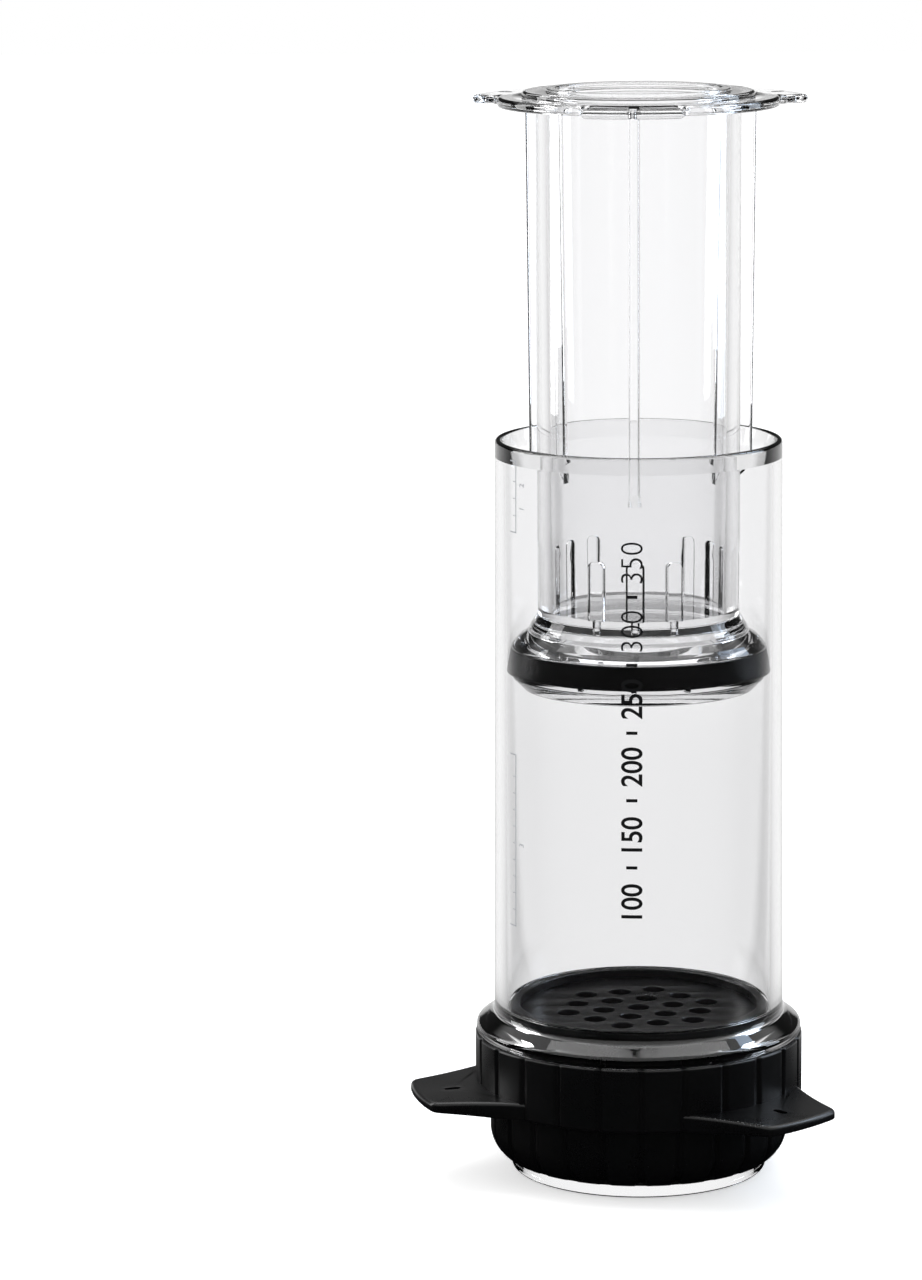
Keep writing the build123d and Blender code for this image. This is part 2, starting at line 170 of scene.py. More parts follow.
studio, studio_in, studio_out = node_group(
    "studio_light",
    [
        ("Direction", "NodeSocketVector"),
        ("Reflected", "NodeSocketFloat"),
        ("Deep", "NodeSocketFloat"),
    ],
    [("Light", "NodeSocketFloat")],
)
toward = studio.nodes.new("ShaderNodeVectorMath")
toward.operation = "NORMALIZE"
studio.links.new(studio_in.outputs["Direction"], toward.inputs[0])
parts = studio.nodes.new("ShaderNodeSeparateXYZ")
studio.links.new(toward.outputs["Vector"], parts.inputs[0])
turn = maths(studio, "ARCTAN2", parts.outputs["X"], parts.outputs["Y"])
degrees = maths(studio, "ADD", maths(studio, "MULTIPLY", turn, 180 / math.pi), 8 * CARD_STEP)
from_card = maths(studio, "SUBTRACT", maths(studio, "MODULO", degrees, CARD_STEP), CARD_STEP / 2)
from_card = maths(studio, "ABSOLUTE", from_card)
straight = smooth_step(
    studio, from_card, CARD_HALF - CARD_SOFT, CARD_HALF + CARD_SOFT, CARD_LIGHT, 1.0
)
ceiling = smooth_step(studio, parts.outputs["Z"], *CEILING)
straight = maths(studio, "MULTIPLY", straight, ceiling)
thrown = smooth_step(studio, parts.outputs["Y"], *ROOM_BACK)
ceiling = smooth_step(studio, parts.outputs["Z"], *ROOM_CEILING)
ceiling = maths(studio, "MAXIMUM", ceiling, studio_in.outputs["Deep"])
softbox = smooth_step(studio, parts.outputs["Z"], *SOFTBOX)
thrown = maths(studio, "ADD", maths(studio, "MULTIPLY", thrown, ceiling), softbox)
light = mixed(studio, studio_in.outputs["Reflected"], straight, thrown)
studio.links.new(light, studio_out.inputs["Light"])


def path_masks(tree):
    """Masks for rays that were reflected on their way, for rays that went through both
    tubes, for the camera's own rays, and for rays that a glossy or clear surface has sent
    on."""
    path = tree.nodes.new("ShaderNodeLightPath")
    reflected = maths(tree, "MINIMUM", path.outputs["Glossy Depth"], 1.0)
    deep = smooth_step(tree, path.outputs["Transmission Depth"], *BOTH_TUBES)
    sent_on = maths(
        tree, "MAXIMUM", path.outputs["Is Glossy Ray"], path.outputs["Is Transmission Ray"]
    )
    return reflected, deep, path.outputs["Is Camera Ray"], sent_on


print("cards every", CARD_STEP, "degrees")

# %% [markdown]
# The world gives each kind of ray its own light: pure white for the camera, the studio by
# direction for rays that the press sends on, and one plain level for everything matt.

# %% The world
WORLD_LEVEL = 0.8

world = bpy.data.worlds.new("studio")
bpy.context.scene.world = world
world.use_nodes = True
tree = world.node_tree
tree.nodes.clear()
coordinates = tree.nodes.new("ShaderNodeTexCoord")
reflected, deep, from_camera, sent_on = path_masks(tree)
light = placed(
    tree, studio, Direction=coordinates.outputs["Generated"], Reflected=reflected, Deep=deep
).outputs["Light"]
matt_only = maths(tree, "SUBTRACT", 1.0, maths(tree, "MAXIMUM", from_camera, sent_on))
strength = maths(tree, "ADD", from_camera, maths(tree, "MULTIPLY", sent_on, light))
strength = maths(tree, "ADD", strength, maths(tree, "MULTIPLY", matt_only, WORLD_LEVEL))
background = tree.nodes.new("ShaderNodeBackground")
background.inputs["Color"].default_value = (1, 1, 1, 1)
tree.links.new(strength, background.inputs["Strength"])
world_out = tree.nodes.new("ShaderNodeOutputWorld")
tree.links.new(background.outputs[0], world_out.inputs["Surface"])
print("world at", WORLD_LEVEL, "for matt surfaces")

# %% [markdown]
# The floor is one large white sheet. The camera sees it as white paper that keeps a soft
# shadow where the press stands: part of its brightness is its own, and the rest is lamp
# light on a matt surface, which the press can shade. Rays that go straight down through the
# press find white paper close by, and further off the same cards as in the world, because a
# low ray meets the floor long before it could meet the world. The sweep glows a little
# beyond white there, which makes up for what the walls' eight faces reflect away. Rays that
# were reflected find the dim room instead. Close round the press, a painted shade darkens the
# floor's glow for them further, in place of the press's shadow on the floor, and that keeps
# the black foot black.

# %% The floor
FLOOR_HALF = 4.0
FLOOR_OWN_LIGHT = 0.50
PAPER_GREY = 0.85
# Distances in metres between which the light changes, and then the light there
FLOOR_NEAR = (0.16, 0.32)
PAINTED_SHADE_NEAR = (0.10, 0.20, 0.06, 1.0)
SWEEP_GLOW = (0.45, 0.85, 1.0, 1.15)

floor_mesh = bpy.data.meshes.new("floor")
floor_mesh.from_pydata(
    [(x, y, -0.02 * MM) for x, y in ((-1, -1), (1, -1), (1, 1), (-1, 1))], [], [(0, 1, 2, 3)]
)
floor_mesh.transform(Matrix.Diagonal((FLOOR_HALF, FLOOR_HALF, 1, 1)))
floor = bpy.data.objects.new("floor", floor_mesh)
bpy.context.scene.collection.objects.link(floor)

paper = bpy.data.materials.new("white_paper")
paper.use_nodes = True
tree = paper.node_tree
tree.nodes.clear()
coordinates = tree.nodes.new("ShaderNodeTexCoord")
far = tree.nodes.new("ShaderNodeVectorMath")
far.operation = "LENGTH"
tree.links.new(coordinates.outputs["Object"], far.inputs[0])
near = smooth_step(tree, far.outputs["Value"], *FLOOR_NEAR, 1.0, 0.0)
reflected, deep, from_camera, sent_on = path_masks(tree)
straight, thrown = (
    placed(
        tree, studio, Direction=coordinates.outputs["Object"], Reflected=share, Deep=0.0
    ).outputs["Light"]
    for share in (0.0, 1.0)
)
straight = maths(tree, "MAXIMUM", straight, near)
beyond_white = smooth_step(tree, far.outputs["Value"], *SWEEP_GLOW)
straight = maths(tree, "MULTIPLY", straight, beyond_white)
# Painted shade: close round the press the floor glows less for reflected rays, standing in for the
# press's shadow on the floor.
dim = smooth_step(tree, far.outputs["Value"], *PAINTED_SHADE_NEAR)
thrown = maths(tree, "MULTIPLY", thrown, dim)
own = maths(tree, "MULTIPLY", sent_on, mixed(tree, reflected, straight, thrown))
own = maths(tree, "ADD", own, maths(tree, "MULTIPLY", from_camera, FLOOR_OWN_LIGHT))
glow = tree.nodes.new("ShaderNodeEmission")
glow.inputs["Color"].default_value = (1, 1, 1, 1)
tree.links.new(own, glow.inputs["Strength"])
matt = tree.nodes.new("ShaderNodeBsdfDiffuse")
grey = smooth_step(tree, sent_on, 0.0, 1.0, PAPER_GREY, 0.0)
tree.links.new(grey, matt.inputs["Color"])
both = tree.nodes.new("ShaderNodeAddShader")
tree.links.new(matt.outputs[0], both.inputs[0])
tree.links.new(glow.outputs[0], both.inputs[1])
paper_out = tree.nodes.new("ShaderNodeOutputMaterial")
tree.links.new(both.outputs[0], paper_out.inputs["Surface"])
floor_mesh.materials.append(paper)
print("floor", 2 * FLOOR_HALF, "m wide")

# %% [markdown]
# Four soft lamps: a wide one overhead, which lays a dull sheen on the wings, two tall ones
# a little behind the press, one each side, which edge the black ribs with light, and a
# small cool one high on the right, which gives the wings' bevels a bluish gleam.

# %% The lamps


def soft_lamp(name, place, target, wide, tall, watts, colour=(1, 1, 1)):
    """A rectangular area lamp at a place, turned so that its own -Z points at a target."""
    data = bpy.data.lights.new(name, "AREA")
    data.shape = "RECTANGLE"
    data.size, data.size_y = wide, tall
    data.energy = watts
    data.color = colour
    lamp = bpy.data.objects.new(name, data)
    lamp.location = place
    lamp.rotation_euler = (Vector(target) - Vector(place)).to_track_quat("-Z", "Y").to_euler()
    bpy.context.scene.collection.objects.link(lamp)


soft_lamp("overhead", (0.0, 0.25, 1.1), (0, 0, 0.1), 1.2, 0.8, 7)
soft_lamp("left_window", (-0.95, 0.35, 0.45), (0, 0, 0.1), 0.30, 0.9, 4)
soft_lamp("right_window", (0.95, 0.30, 0.45), (0, 0, 0.1), 0.30, 0.9, 4, (0.80, 0.89, 1.0))
soft_lamp("high_window", (0.80, 0.42, 0.85), (0, 0, 0.1), 0.40, 0.40, 2.5, (0.62, 0.78, 1.0))
print(len(bpy.data.lights), "lamps")

# %% [markdown]
# Two finishes share an effect: moulded plastic is never quite even. The tool's fine texture
# shows as grain, and the melt's flow as slow, faint waves. The group gives both as one height
# and one mask, and each material decides how much of them to use.

# %% Moulded plastic's unevenness, as a node group
moulding, moulding_in, moulding_out = node_group(
    "moulded_surface",
    [("Place", "NodeSocketVector"), ("Grain", "NodeSocketFloat"), ("Flow", "NodeSocketFloat")],
    [("Mask", "NodeSocketFloat"), ("Height", "NodeSocketFloat")],
)
noises = {}
for title in ("Grain", "Flow"):
    noise = moulding.nodes.new("ShaderNodeTexNoise")
    noise.inputs["Detail"].default_value = 2.0
    moulding.links.new(moulding_in.outputs["Place"], noise.inputs["Vector"])
    moulding.links.new(moulding_in.outputs[title], noise.inputs["Scale"])
    noises[title] = noise.outputs["Fac"]
mask = maths(moulding, "MULTIPLY", noises["Flow"], maths(moulding, "ADD", noises["Grain"], 0.5))
moulding.links.new(mask, moulding_out.inputs["Mask"])
height = maths(moulding, "ADD", noises["Flow"], maths(moulding, "MULTIPLY", noises["Grain"], 0.2))
moulding.links.new(height, moulding_out.inputs["Height"])


def plastic(name, colours, roughness, grain, flow, bump, **fixed):
    """A moulded plastic. colours and roughness are pairs that the mask goes between."""
    material = bpy.data.materials.new(name)
    material.use_nodes = True
    tree = material.node_tree
    shader = tree.nodes["Principled BSDF"]
    coordinates = tree.nodes.new("ShaderNodeTexCoord")
    surface = placed(
        tree, moulding, Place=coordinates.outputs["Object"], Grain=grain, Flow=flow
    )
    if colours is not None:
        mix = tree.nodes.new("ShaderNodeMix")
        mix.data_type = "RGBA"
        tree.links.new(surface.outputs["Mask"], mix.inputs["Factor"])
        mix.inputs[6].default_value = (*colours[0], 1)
        mix.inputs[7].default_value = (*colours[1], 1)
        tree.links.new(mix.outputs[2], shader.inputs["Base Color"])
    rough = smooth_step(tree, surface.outputs["Mask"], 0.2, 0.8, *roughness)
    tree.links.new(rough, shader.inputs["Roughness"])
    relief = tree.nodes.new("ShaderNodeBump")
    relief.inputs["Strength"].default_value = 1.0
    relief.inputs["Distance"].default_value = bump
    tree.links.new(surface.outputs["Height"], relief.inputs["Height"])
    tree.links.new(relief.outputs["Normal"], shader.inputs["Normal"])
    for title, value in fixed.items():
        shader.inputs[title.replace("_", " ")].default_value = value
    return material


clear_plastic = plastic(
    "clear_plastic", None, (0.0, 0.012), 900, 28, 0.002 * MM,
    Base_Color=(0.985, 0.985, 0.99, 1), Transmission_Weight=1.0, IOR=1.52,
)
black_plastic = plastic(
    "satin_black_plastic", ((0.0010, 0.0010, 0.0013), (0.0030, 0.0030, 0.0034)), (0.25, 0.36),
    2600, 60, 0.010 * MM, Specular_IOR_Level=0.38,
)
plate_plastic = plastic(
    "filter_black_plastic", ((0.0022, 0.0022, 0.0026), (0.0064, 0.0064, 0.0072)), (0.26, 0.38),
    2200, 50, 0.014 * MM, Specular_IOR_Level=0.42,
)
silicone = plastic(
    "black_silicone", ((0.0022, 0.0022, 0.0026), (0.0050, 0.0050, 0.0058)), (0.38, 0.52),
    1800, 40, 0.010 * MM, Specular_IOR_Level=0.15,
)
ink = plastic(
    "black_ink", ((0.004, 0.004, 0.005), (0.012, 0.012, 0.013)), (0.45, 0.6),
    3000, 90, 0.004 * MM, Specular_IOR_Level=0.2,
)
pale_ink = plastic(
    "pale_grey_ink", ((0.30, 0.31, 0.33), (0.42, 0.43, 0.45)), (0.45, 0.6),
    3000, 90, 0.004 * MM, Specular_IOR_Level=0.2,
)
print(len(bpy.data.materials), "materials")

# %% [markdown]
# Every turned piece starts as a section: a line of (radius, height) points in millimetres
# that goes round the piece's wall. A corner gets a small arc, and a held point close to each
# end of it, because smooth shading averages the faces at a corner, and without a held point
# the whole flat face beside it would look pillowed.

# %% Sections with rounded corners
HOLD = 0.12
ARC_STEPS = 6


def unit(vector):
    """A direction of length 1."""
    return vector / np.linalg.norm(vector)


def corner_points(point, rounding, before, after):
    """The points that stand for one corner. The arc's centre lies on the corner's bisector,
    rounding / sin(half) away, and the arc meets each edge rounding / tan(half) from the
    corner, where half is half of the corner's angle."""
    if rounding == 0:
        return [point]
    back, on = before - point, after - point
    half = math.acos(np.clip(unit(back) @ unit(on), -1, 1)) / 2
    reach = rounding / math.tan(half)
    centre = point + unit(unit(back) + unit(on)) * rounding / math.sin(half)
    first, last = point + unit(back) * reach, point + unit(on) * reach
    begin = math.atan2(first[1] - centre[1], first[0] - centre[0])
    sweep = math.atan2(last[1] - centre[1], last[0] - centre[0]) - begin
    sweep = (sweep + math.pi) % (2 * math.pi) - math.pi
    angles = begin + sweep * np.linspace(0, 1, ARC_STEPS + 1)
    arc = list(centre + rounding * np.stack([np.cos(angles), np.sin(angles)], axis=1))
    if np.linalg.norm(back) > 2 * reach + 3 * HOLD:
        arc.insert(0, first + unit(back) * HOLD)
    if np.linalg.norm(on) > 2 * reach + 3 * HOLD:
        arc.append(last + unit(on) * HOLD)
    return arc


def section(corners, longest=9.0, closed=True):
    """A line through (radius, height) or (radius, height, rounding) corners, with no gap
    longer than longest."""
    places = [np.array(corner[:2], float) for corner in corners]
    rounds = [corner[2] if len(corner) > 2 else 0 for corner in corners]
    count = len(places)
    points = []
    for step in range(count):
        after = places[(step + 1) % count]
        points += corner_points(places[step], rounds[step], places[step - 1], after)
    points = np.array(points)
    following = np.roll(points, -1, axis=0)
    if not closed:
        following[-1] = points[-1]
    gaps = np.linalg.norm(following - points, axis=1)
    shares = [np.arange(max(1, math.ceil(gap / longest))) for gap in gaps]
    return np.concatenate(
        [
            point + (after - point) * share[:, None] / len(share)
            for point, after, share in zip(points, following, shares)
        ]
    )


def at(radius, height, angle):
    """Points at a radius, a height and an angle from the front towards +X:
    x = radius * sin(angle), y = -radius * cos(angle). Arrays of any matching shape."""
    radius, height, angle = np.broadcast_arrays(radius, height, angle)
    return np.stack([radius * np.sin(angle), -radius * np.cos(angle), height], axis=-1)


def column(values):
    """An array as one column, so that it goes with a row of angles to make a grid."""
    return np.asarray(values, float)[:, None]


def revolved(line, angles):
    """A grid from a section's line and the angles of its columns."""
    return at(column(line[:, 0]), column(line[:, 1]), angles)


print(len(section([(1, 0, 0.2), (2, 0), (2, 3), (1, 3)])), "points in a small test section")

# %% [markdown]
# A grid of points becomes a mesh by joining neighbours with quads. Along one way the grid
# always closes round the axis. Along the other it either closes too, as the wall of a ring
# does, or ends in two poles, as a disc does. A wrong order of corners would turn the faces
# inwards, so the helper measures the enclosed volume and flips them if it is negative.

# %% Grids into meshes
SHARP_ANGLE = math.radians(29)


def finish_shading(mesh):
    """Smooth shading, apart from edges where two faces meet at a clear angle."""
    mesh.shade_smooth()
    mesh.set_sharp_from_angle(angle=SHARP_ANGLE)


def grid_mesh(name, grid, poles=False):
    """A closed mesh from a (rows, columns, 3) grid of points in millimetres. With poles, the
    first and last rows each close to the middle of their own points."""
    rows, columns = grid.shape[:2]
    number = np.arange(rows * columns).reshape(rows, columns)
    points = grid.reshape(-1, 3)
    this = number[:-1] if poles else number
    after = number[1:] if poles else np.roll(number, -1, axis=0)
    quads = np.stack([this, np.roll(this, -1, 1), np.roll(after, -1, 1), after], axis=-1)
    quads = quads.reshape(-1, 4)
    faces = quads.tolist()
    corners = points[quads]
    if poles:
        ends = np.array([grid[0].mean(axis=0), grid[-1].mean(axis=0)])
        first, last = len(points), len(points) + 1
        points = np.concatenate([points, ends])
        for pole, ring in ((first, number[0][::-1]), (last, number[-1])):
            fan = np.stack([np.full(columns, pole), ring, np.roll(ring, -1)], axis=-1)
            faces += fan.tolist()
    first, second, third, fourth = (corners[:, step] for step in range(4))
    volume = np.einsum("ij,ij->", first, np.cross(second, third))
    volume += np.einsum("ij,ij->", first, np.cross(third, fourth))
    if volume < 0:
        faces = [face[::-1] for face in faces]
    mesh = bpy.data.meshes.new(name)
    mesh.from_pydata((points * MM).tolist(), [], faces)
    finish_shading(mesh)
    return mesh


def add_piece(name, mesh, material, body, slot, *nodes):
    """Shows a mesh as a piece that rides on a body and stands for CAD nodes."""
    piece = bpy.data.objects.new(name, mesh)
    bpy.context.scene.collection.objects.link(piece)
    mesh.materials.clear()
    mesh.materials.append(material)
    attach(piece, body)
    if nodes:
        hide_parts(*nodes)
    print(name, len(mesh.polygons), "faces")
    return piece


def evaluated_mesh(item):
    """The mesh that an object's modifiers or curve work out to. The object is removed."""
    bpy.context.scene.collection.objects.link(item)
    bpy.context.view_layer.update()
    graph = bpy.context.evaluated_depsgraph_get()
    mesh = bpy.data.meshes.new_from_object(item.evaluated_get(graph))
    bpy.data.objects.remove(item)
    return mesh


def cut_away(mesh, cutter_mesh):
    """The mesh with the cutter's space taken out of it, by an exact boolean."""
    body, cutter = (bpy.data.objects.new(item.name, item) for item in (mesh, cutter_mesh))
    bpy.context.scene.collection.objects.link(cutter)
    cut = body.modifiers.new("cut", "BOOLEAN")
    cut.operation = "DIFFERENCE"
    cut.solver = "EXACT"
    cut.object = cutter
    result = evaluated_mesh(body)
    result.name = mesh.name
    bpy.data.objects.remove(cutter)
    finish_shading(result)
    return result


def prisms(name, outline, foot, top):
    """Upright prisms as one mesh, from a (prisms, points, 2) array of outlines."""
    count, sides = outline.shape[:2]
    heights = np.array([foot, top])
    walls = np.empty((count, 2, sides, 3))
    walls[..., :2] = outline[:, None]
    walls[..., 2] = heights[:, None]
    number = np.arange(count * 2 * sides).reshape(count, 2, sides)
    low, high = number[:, 0], number[:, 1]
    faces = np.stack([low, np.roll(low, -1, 1), np.roll(high, -1, 1), high], -1)
    faces = faces.reshape(-1, 4).tolist() + low[:, ::-1].tolist() + high.tolist()
    mesh = bpy.data.meshes.new(name)
    mesh.from_pydata((walls.reshape(-1, 3) * MM).tolist(), [], faces)
    return mesh


def points_of(mesh):
    """A mesh's points in metres, as an (n, 3) array."""
    places = np.empty(len(mesh.vertices) * 3, np.float32)
    mesh.vertices.foreach_get("co", places)
    return places.reshape(-1, 3)


def move_points(mesh, places):
    """Puts a mesh's points at new places, given in millimetres."""
    mesh.vertices.foreach_set("co", (places * MM).astype(np.float32).ravel())


print("mesh helpers ready")

# %% [markdown]
# The outlet ring is a short clear ring in the cap's foot, which steadies the press on a cup.
# The brew chamber is the outer tube. Below its foot flange, a skirt with three lugs locks
# into the cap. The lugs are the same wall moved outwards: in the rows and columns that lie
# on a lug, the radius is larger.

# %% The outlet ring and the brew chamber
PLAIN_COLUMNS = 288
plain_angles = np.linspace(0, 2 * math.pi, PLAIN_COLUMNS, endpoint=False)

outlet_line = section([(27.9, 0, 0.4), (30.5, 0, 0.9), (30.5, 12, 0.3), (27.9, 12, 0.3)])
outlet = grid_mesh("outlet_ring", revolved(outlet_line, plain_angles))
add_piece("outlet_foot_ring", outlet, clear_plastic, "cap", "clear_plastic", "outlet_ring")

SKIRT_R, SKIRT_FOOT = 33.0, 18.8
LUG_R = 34.3
LUG_FOOT, LUG_TOP = 22.8, 25.8
LUG_HALF = 11.0
LUG_SIDE = 0.05
CHAMBER_FLANGE_R, CHAMBER_FLANGE_FOOT = 38.9, 33.54
CHAMBER_FOOT_R, CHAMBER_RIM_R = 34.6, 33.9
FLARE_TOP, RIM_TOP = 39.0, 176.7
CHAMBER_BORE = 31.6
chamber_line = section(
    [
        (31.1, SKIRT_FOOT, 0.3),
        (SKIRT_R, SKIRT_FOOT, 0.4),
        (SKIRT_R, LUG_FOOT - LUG_SIDE),
        (SKIRT_R, LUG_FOOT),
        (SKIRT_R, LUG_TOP),
        (SKIRT_R, LUG_TOP + LUG_SIDE),
        (SKIRT_R, CHAMBER_FLANGE_FOOT),
        (CHAMBER_FLANGE_R, CHAMBER_FLANGE_FOOT, 0.7),
        (CHAMBER_FLANGE_R, 35.9, 1.7),
        (CHAMBER_FOOT_R, FLARE_TOP, 2.6),
        (CHAMBER_RIM_R, RIM_TOP, 0.7),
        (32.4, RIM_TOP, 0.5),
        (CHAMBER_BORE, 172.5, 0.8),
        (CHAMBER_BORE, 40.9, 0.3),
        (31.1, 40.4, 0.3),
    ]
)
lug_sides = np.array(
    [
        120 * step + way * (LUG_HALF + gap)
        for step in range(3)
        for way in (-1, 1)
        for gap in (0, LUG_SIDE)
    ]
)
chamber_degrees = np.unique(np.concatenate([np.degrees(plain_angles), lug_sides % 360]))
radii, heights = column(chamber_line[:, 0]), column(chamber_line[:, 1])
on_skirt = abs(radii - SKIRT_R) < 1e-6
in_lug_rows = on_skirt & (heights > LUG_FOOT - 1e-6) & (heights < LUG_TOP + 1e-6)
in_lug_columns = abs((chamber_degrees + 60) % 120 - 60) < LUG_HALF + LUG_SIDE / 2
radii = np.where(in_lug_rows & in_lug_columns, LUG_R, radii)
chamber = grid_mesh("brew_chamber", at(radii, heights, np.radians(chamber_degrees)))
add_piece("brew_chamber_tube", chamber, clear_plastic, "chamber", "clear_plastic", "brew_chamber")

# %% [markdown]
# The cap and the collar are gripped by hand, so both have 24 narrow upright grooves with
# soft sides. A groove's depth at a point is half its full depth times 1 + cos(pi * t / w),
# where t is how far the point lies to the side of the groove's middle and w is half its
# width. To draw it cleanly, the grid's columns crowd together in each groove at fixed
# distances t, and their angle follows from the radius: asin(t / radius).

# %% Columns for a grooved wall
GROOVES = 24
GROOVE_START = math.radians(1.0)
GROOVE_DEEP = 0.55
GROOVE_HALF = 1.15
groove_shares = np.array([-1.3, -1, -0.8, -0.6, -0.4, -0.2, 0, 0.2, 0.4, 0.6, 0.8, 1, 1.3])
panel_angles = np.radians([2.6, 5.0, 7.5, 10.0, 12.4])


def grooved_angles(radius, wider=1.0):
    """The angle of every column at a radius: in each groove asin(t / radius), and between
    the grooves the same for all radii."""
    radius = column(radius)
    across = np.arcsin(groove_shares * GROOVE_HALF * wider / radius)
    panel = np.broadcast_to(panel_angles, (len(radius), len(panel_angles)))
    one = np.concatenate([across, panel], axis=1)
    starts = GROOVE_START + np.arange(GROOVES) * 2 * math.pi / GROOVES
    return (starts[None, :, None] + one[:, None, :]).reshape(len(radius), -1)


groove_depths = GROOVE_DEEP * (0.5 + 0.5 * np.cos(math.pi * np.clip(groove_shares, -1, 1)))
groove_depths = np.tile(np.concatenate([groove_depths, 0 * panel_angles]), GROOVES)
print(len(groove_depths), "columns")

# %% [markdown]
# The cap is a cup with a web across it and a tower for the filter plate. Its outside bends
# in at the foot on an arc, and the grooves follow the bend, so each point moves along the
# section's own normal. Inside its wall, three tracks take the chamber's lugs: a lug drops in
# where the track is open to the top, and the cap then turns 40 degrees.

# %% The filter cap
CAP_R, CAP_FOOT_R = 35.7, 32.3
CAP_FOOT, CAP_BEND_TOP, CAP_TOP = 3.5, 10.0, 30.1
CAP_BORE, CAP_FOOT_BORE = 33.3, 30.65
WEB_FOOT, WEB_TOP = 12.0, 17.0
TOWER_R, TOWER_BORE, TOWER_TOP = 30.7, 28.5, 36.3
TRACK_R = 34.6
TRACK_FOOT, TRACK_TOP, TRACK_SIDE = 22.5, 26.1, 0.05
TRACK_FROM, TRACK_TO, ENTRY_TO = -53.5, 13.5, -26.5
BEND_DEEPER, BEND_WIDER = 0.9, 0.7

bend_turn = 2 * math.atan((CAP_R - CAP_FOOT_R) / (CAP_BEND_TOP - CAP_FOOT))
bend_r = (CAP_BEND_TOP - CAP_FOOT) / math.sin(bend_turn)
bend = bend_turn * np.linspace(1, 0, 13)
bend_normals = np.stack([np.cos(bend), -np.sin(bend)], 1)
bend_line = (CAP_R - bend_r, CAP_BEND_TOP) + bend_r * bend_normals
wall_up = np.arange(11.5, CAP_TOP - 1, 2.2)
cap_wall = np.stack([np.full(len(wall_up), CAP_R), wall_up], 1)
cap_rest = section(
    [
        (CAP_R, CAP_TOP - 0.8),
        (CAP_R, CAP_TOP, 0.4),
        (CAP_BORE, CAP_TOP, 0.3),
        (CAP_BORE, TRACK_TOP + TRACK_SIDE),
        (CAP_BORE, TRACK_TOP),
        (CAP_BORE, TRACK_FOOT),
        (CAP_BORE, TRACK_FOOT - TRACK_SIDE),
        (CAP_BORE, WEB_TOP),
        (TOWER_R, WEB_TOP),
        (TOWER_R, TOWER_TOP),
        (TOWER_BORE, TOWER_TOP),
        (TOWER_BORE, WEB_FOOT),
        (CAP_FOOT_BORE, WEB_FOOT),
        (CAP_FOOT_BORE, CAP_FOOT),
        (32.0, CAP_FOOT),
    ],
    longest=6.0,
    closed=False,
)
cap_line = np.concatenate([bend_line, cap_wall, cap_rest])
outside = len(bend_line) + len(cap_wall)
normals = np.zeros_like(cap_line)
normals[: len(bend_line)] = bend_normals
normals[len(bend_line) :] = (1, 0)
grooved, wider = np.zeros(len(cap_line)), np.ones((len(cap_line), 1))
grooved[:outside] = 1
grooved[: len(bend_line)] += BEND_DEEPER * bend / bend_turn
wider[: len(bend_line), 0] += BEND_WIDER * bend / bend_turn
grooved[outside:] = cap_rest[:, 0] > CAP_R - 0.45
radii = column(cap_line[:, 0]) - column(normals[:, 0] * grooved) * groove_depths
heights = column(cap_line[:, 1]) - column(normals[:, 1] * grooved) * groove_depths
angles = grooved_angles(cap_line[:, 0], wider)
from_locked = (np.degrees(angles) + 60) % 120 - 60
from_locked = np.where(from_locked > TRACK_TO + 0.5, from_locked - 120, from_locked)
level = column(cap_line[:, 1])
inner_wall = (abs(column(cap_line[:, 0]) - CAP_BORE) < 0.35) & (level > TRACK_FOOT - 0.01)
in_entry = (from_locked > TRACK_FROM) & (from_locked < ENTRY_TO)
in_track = (from_locked > TRACK_FROM) & (from_locked < TRACK_TO) & (level < TRACK_TOP + 0.01)
radii = np.where(inner_wall & (in_track | in_entry), np.maximum(radii, TRACK_R), radii)
cap = grid_mesh("filter_cap", at(radii, heights, angles))
add_piece("ribbed_cap", cap, black_plastic, "cap", "black_plastic", "filter_cap")

# %% [markdown]
# A wing and a finger tab have the same kind of outline: two hollow sides and a bowed end. It
# is walked in equal steps and then softened, which rounds its corners as a mould would. A
# slot is worked out by direction, so an outline's own columns can run on into the slot.

# %% Outlines for wings and tabs
SLOT_LONG, SLOT_WIDE = 4.0, 1.8


def arc_through(first, middle, last, count):
    """Points on the circle through three points, from the first to the last."""
    (ax, ay), (bx, by), (cx, cy) = first, middle, last
    d = 2 * (ax * (by - cy) + bx * (cy - ay) + cx * (ay - by))
    squares = ax * ax + ay * ay, bx * bx + by * by, cx * cx + cy * cy
    ux = (squares[0] * (by - cy) + squares[1] * (cy - ay) + squares[2] * (ay - by)) / d
    uy = (squares[0] * (cx - bx) + squares[1] * (ax - cx) + squares[2] * (bx - ax)) / d
    centre = np.array([ux, uy])
    angles = [math.atan2(y - uy, x - ux) for x, y in (first, middle, last)]
    sweep = (angles[2] - angles[0] + math.pi) % (2 * math.pi) - math.pi
    turns = angles[0] + sweep * np.linspace(0, 1, count)
    radius = np.linalg.norm(np.array(first) - centre)
    return centre + radius * np.stack([np.cos(turns), np.sin(turns)], axis=1)


def even_steps(line, count, closed=True):
    """The same line walked in equal steps."""
    if closed:
        line = np.concatenate([line, line[:1]])
    walked = np.concatenate([[0], np.cumsum(np.linalg.norm(np.diff(line, axis=0), axis=1))])
    stops = np.linspace(0, walked[-1], count, endpoint=not closed)
    return np.stack([np.interp(stops, walked, line[:, axis]) for axis in (0, 1)], axis=1)


def softened(line, reach):
    """A closed line of equal steps with its corners rounded: each point becomes the mean of
    its neighbours, weighted by exp(-(distance / reach)^2)."""
    step = np.linalg.norm(line[1] - line[0])
    near = np.arange(-int(3 * reach / step) - 1, int(3 * reach / step) + 2)
    weights = np.exp(-((near * step / reach) ** 2))
    weights /= weights.sum()
    return sum(weight * np.roll(line, -shift, axis=0) for weight, shift in zip(weights, near))


def inward(line, distance):
    """A closed line that runs anticlockwise, moved towards its inside."""
    along = np.roll(line, -1, axis=0) - np.roll(line, 1, axis=0)
    along /= np.linalg.norm(along, axis=1)[:, None]
    return line + distance * np.stack([-along[:, 1], along[:, 0]], axis=1)


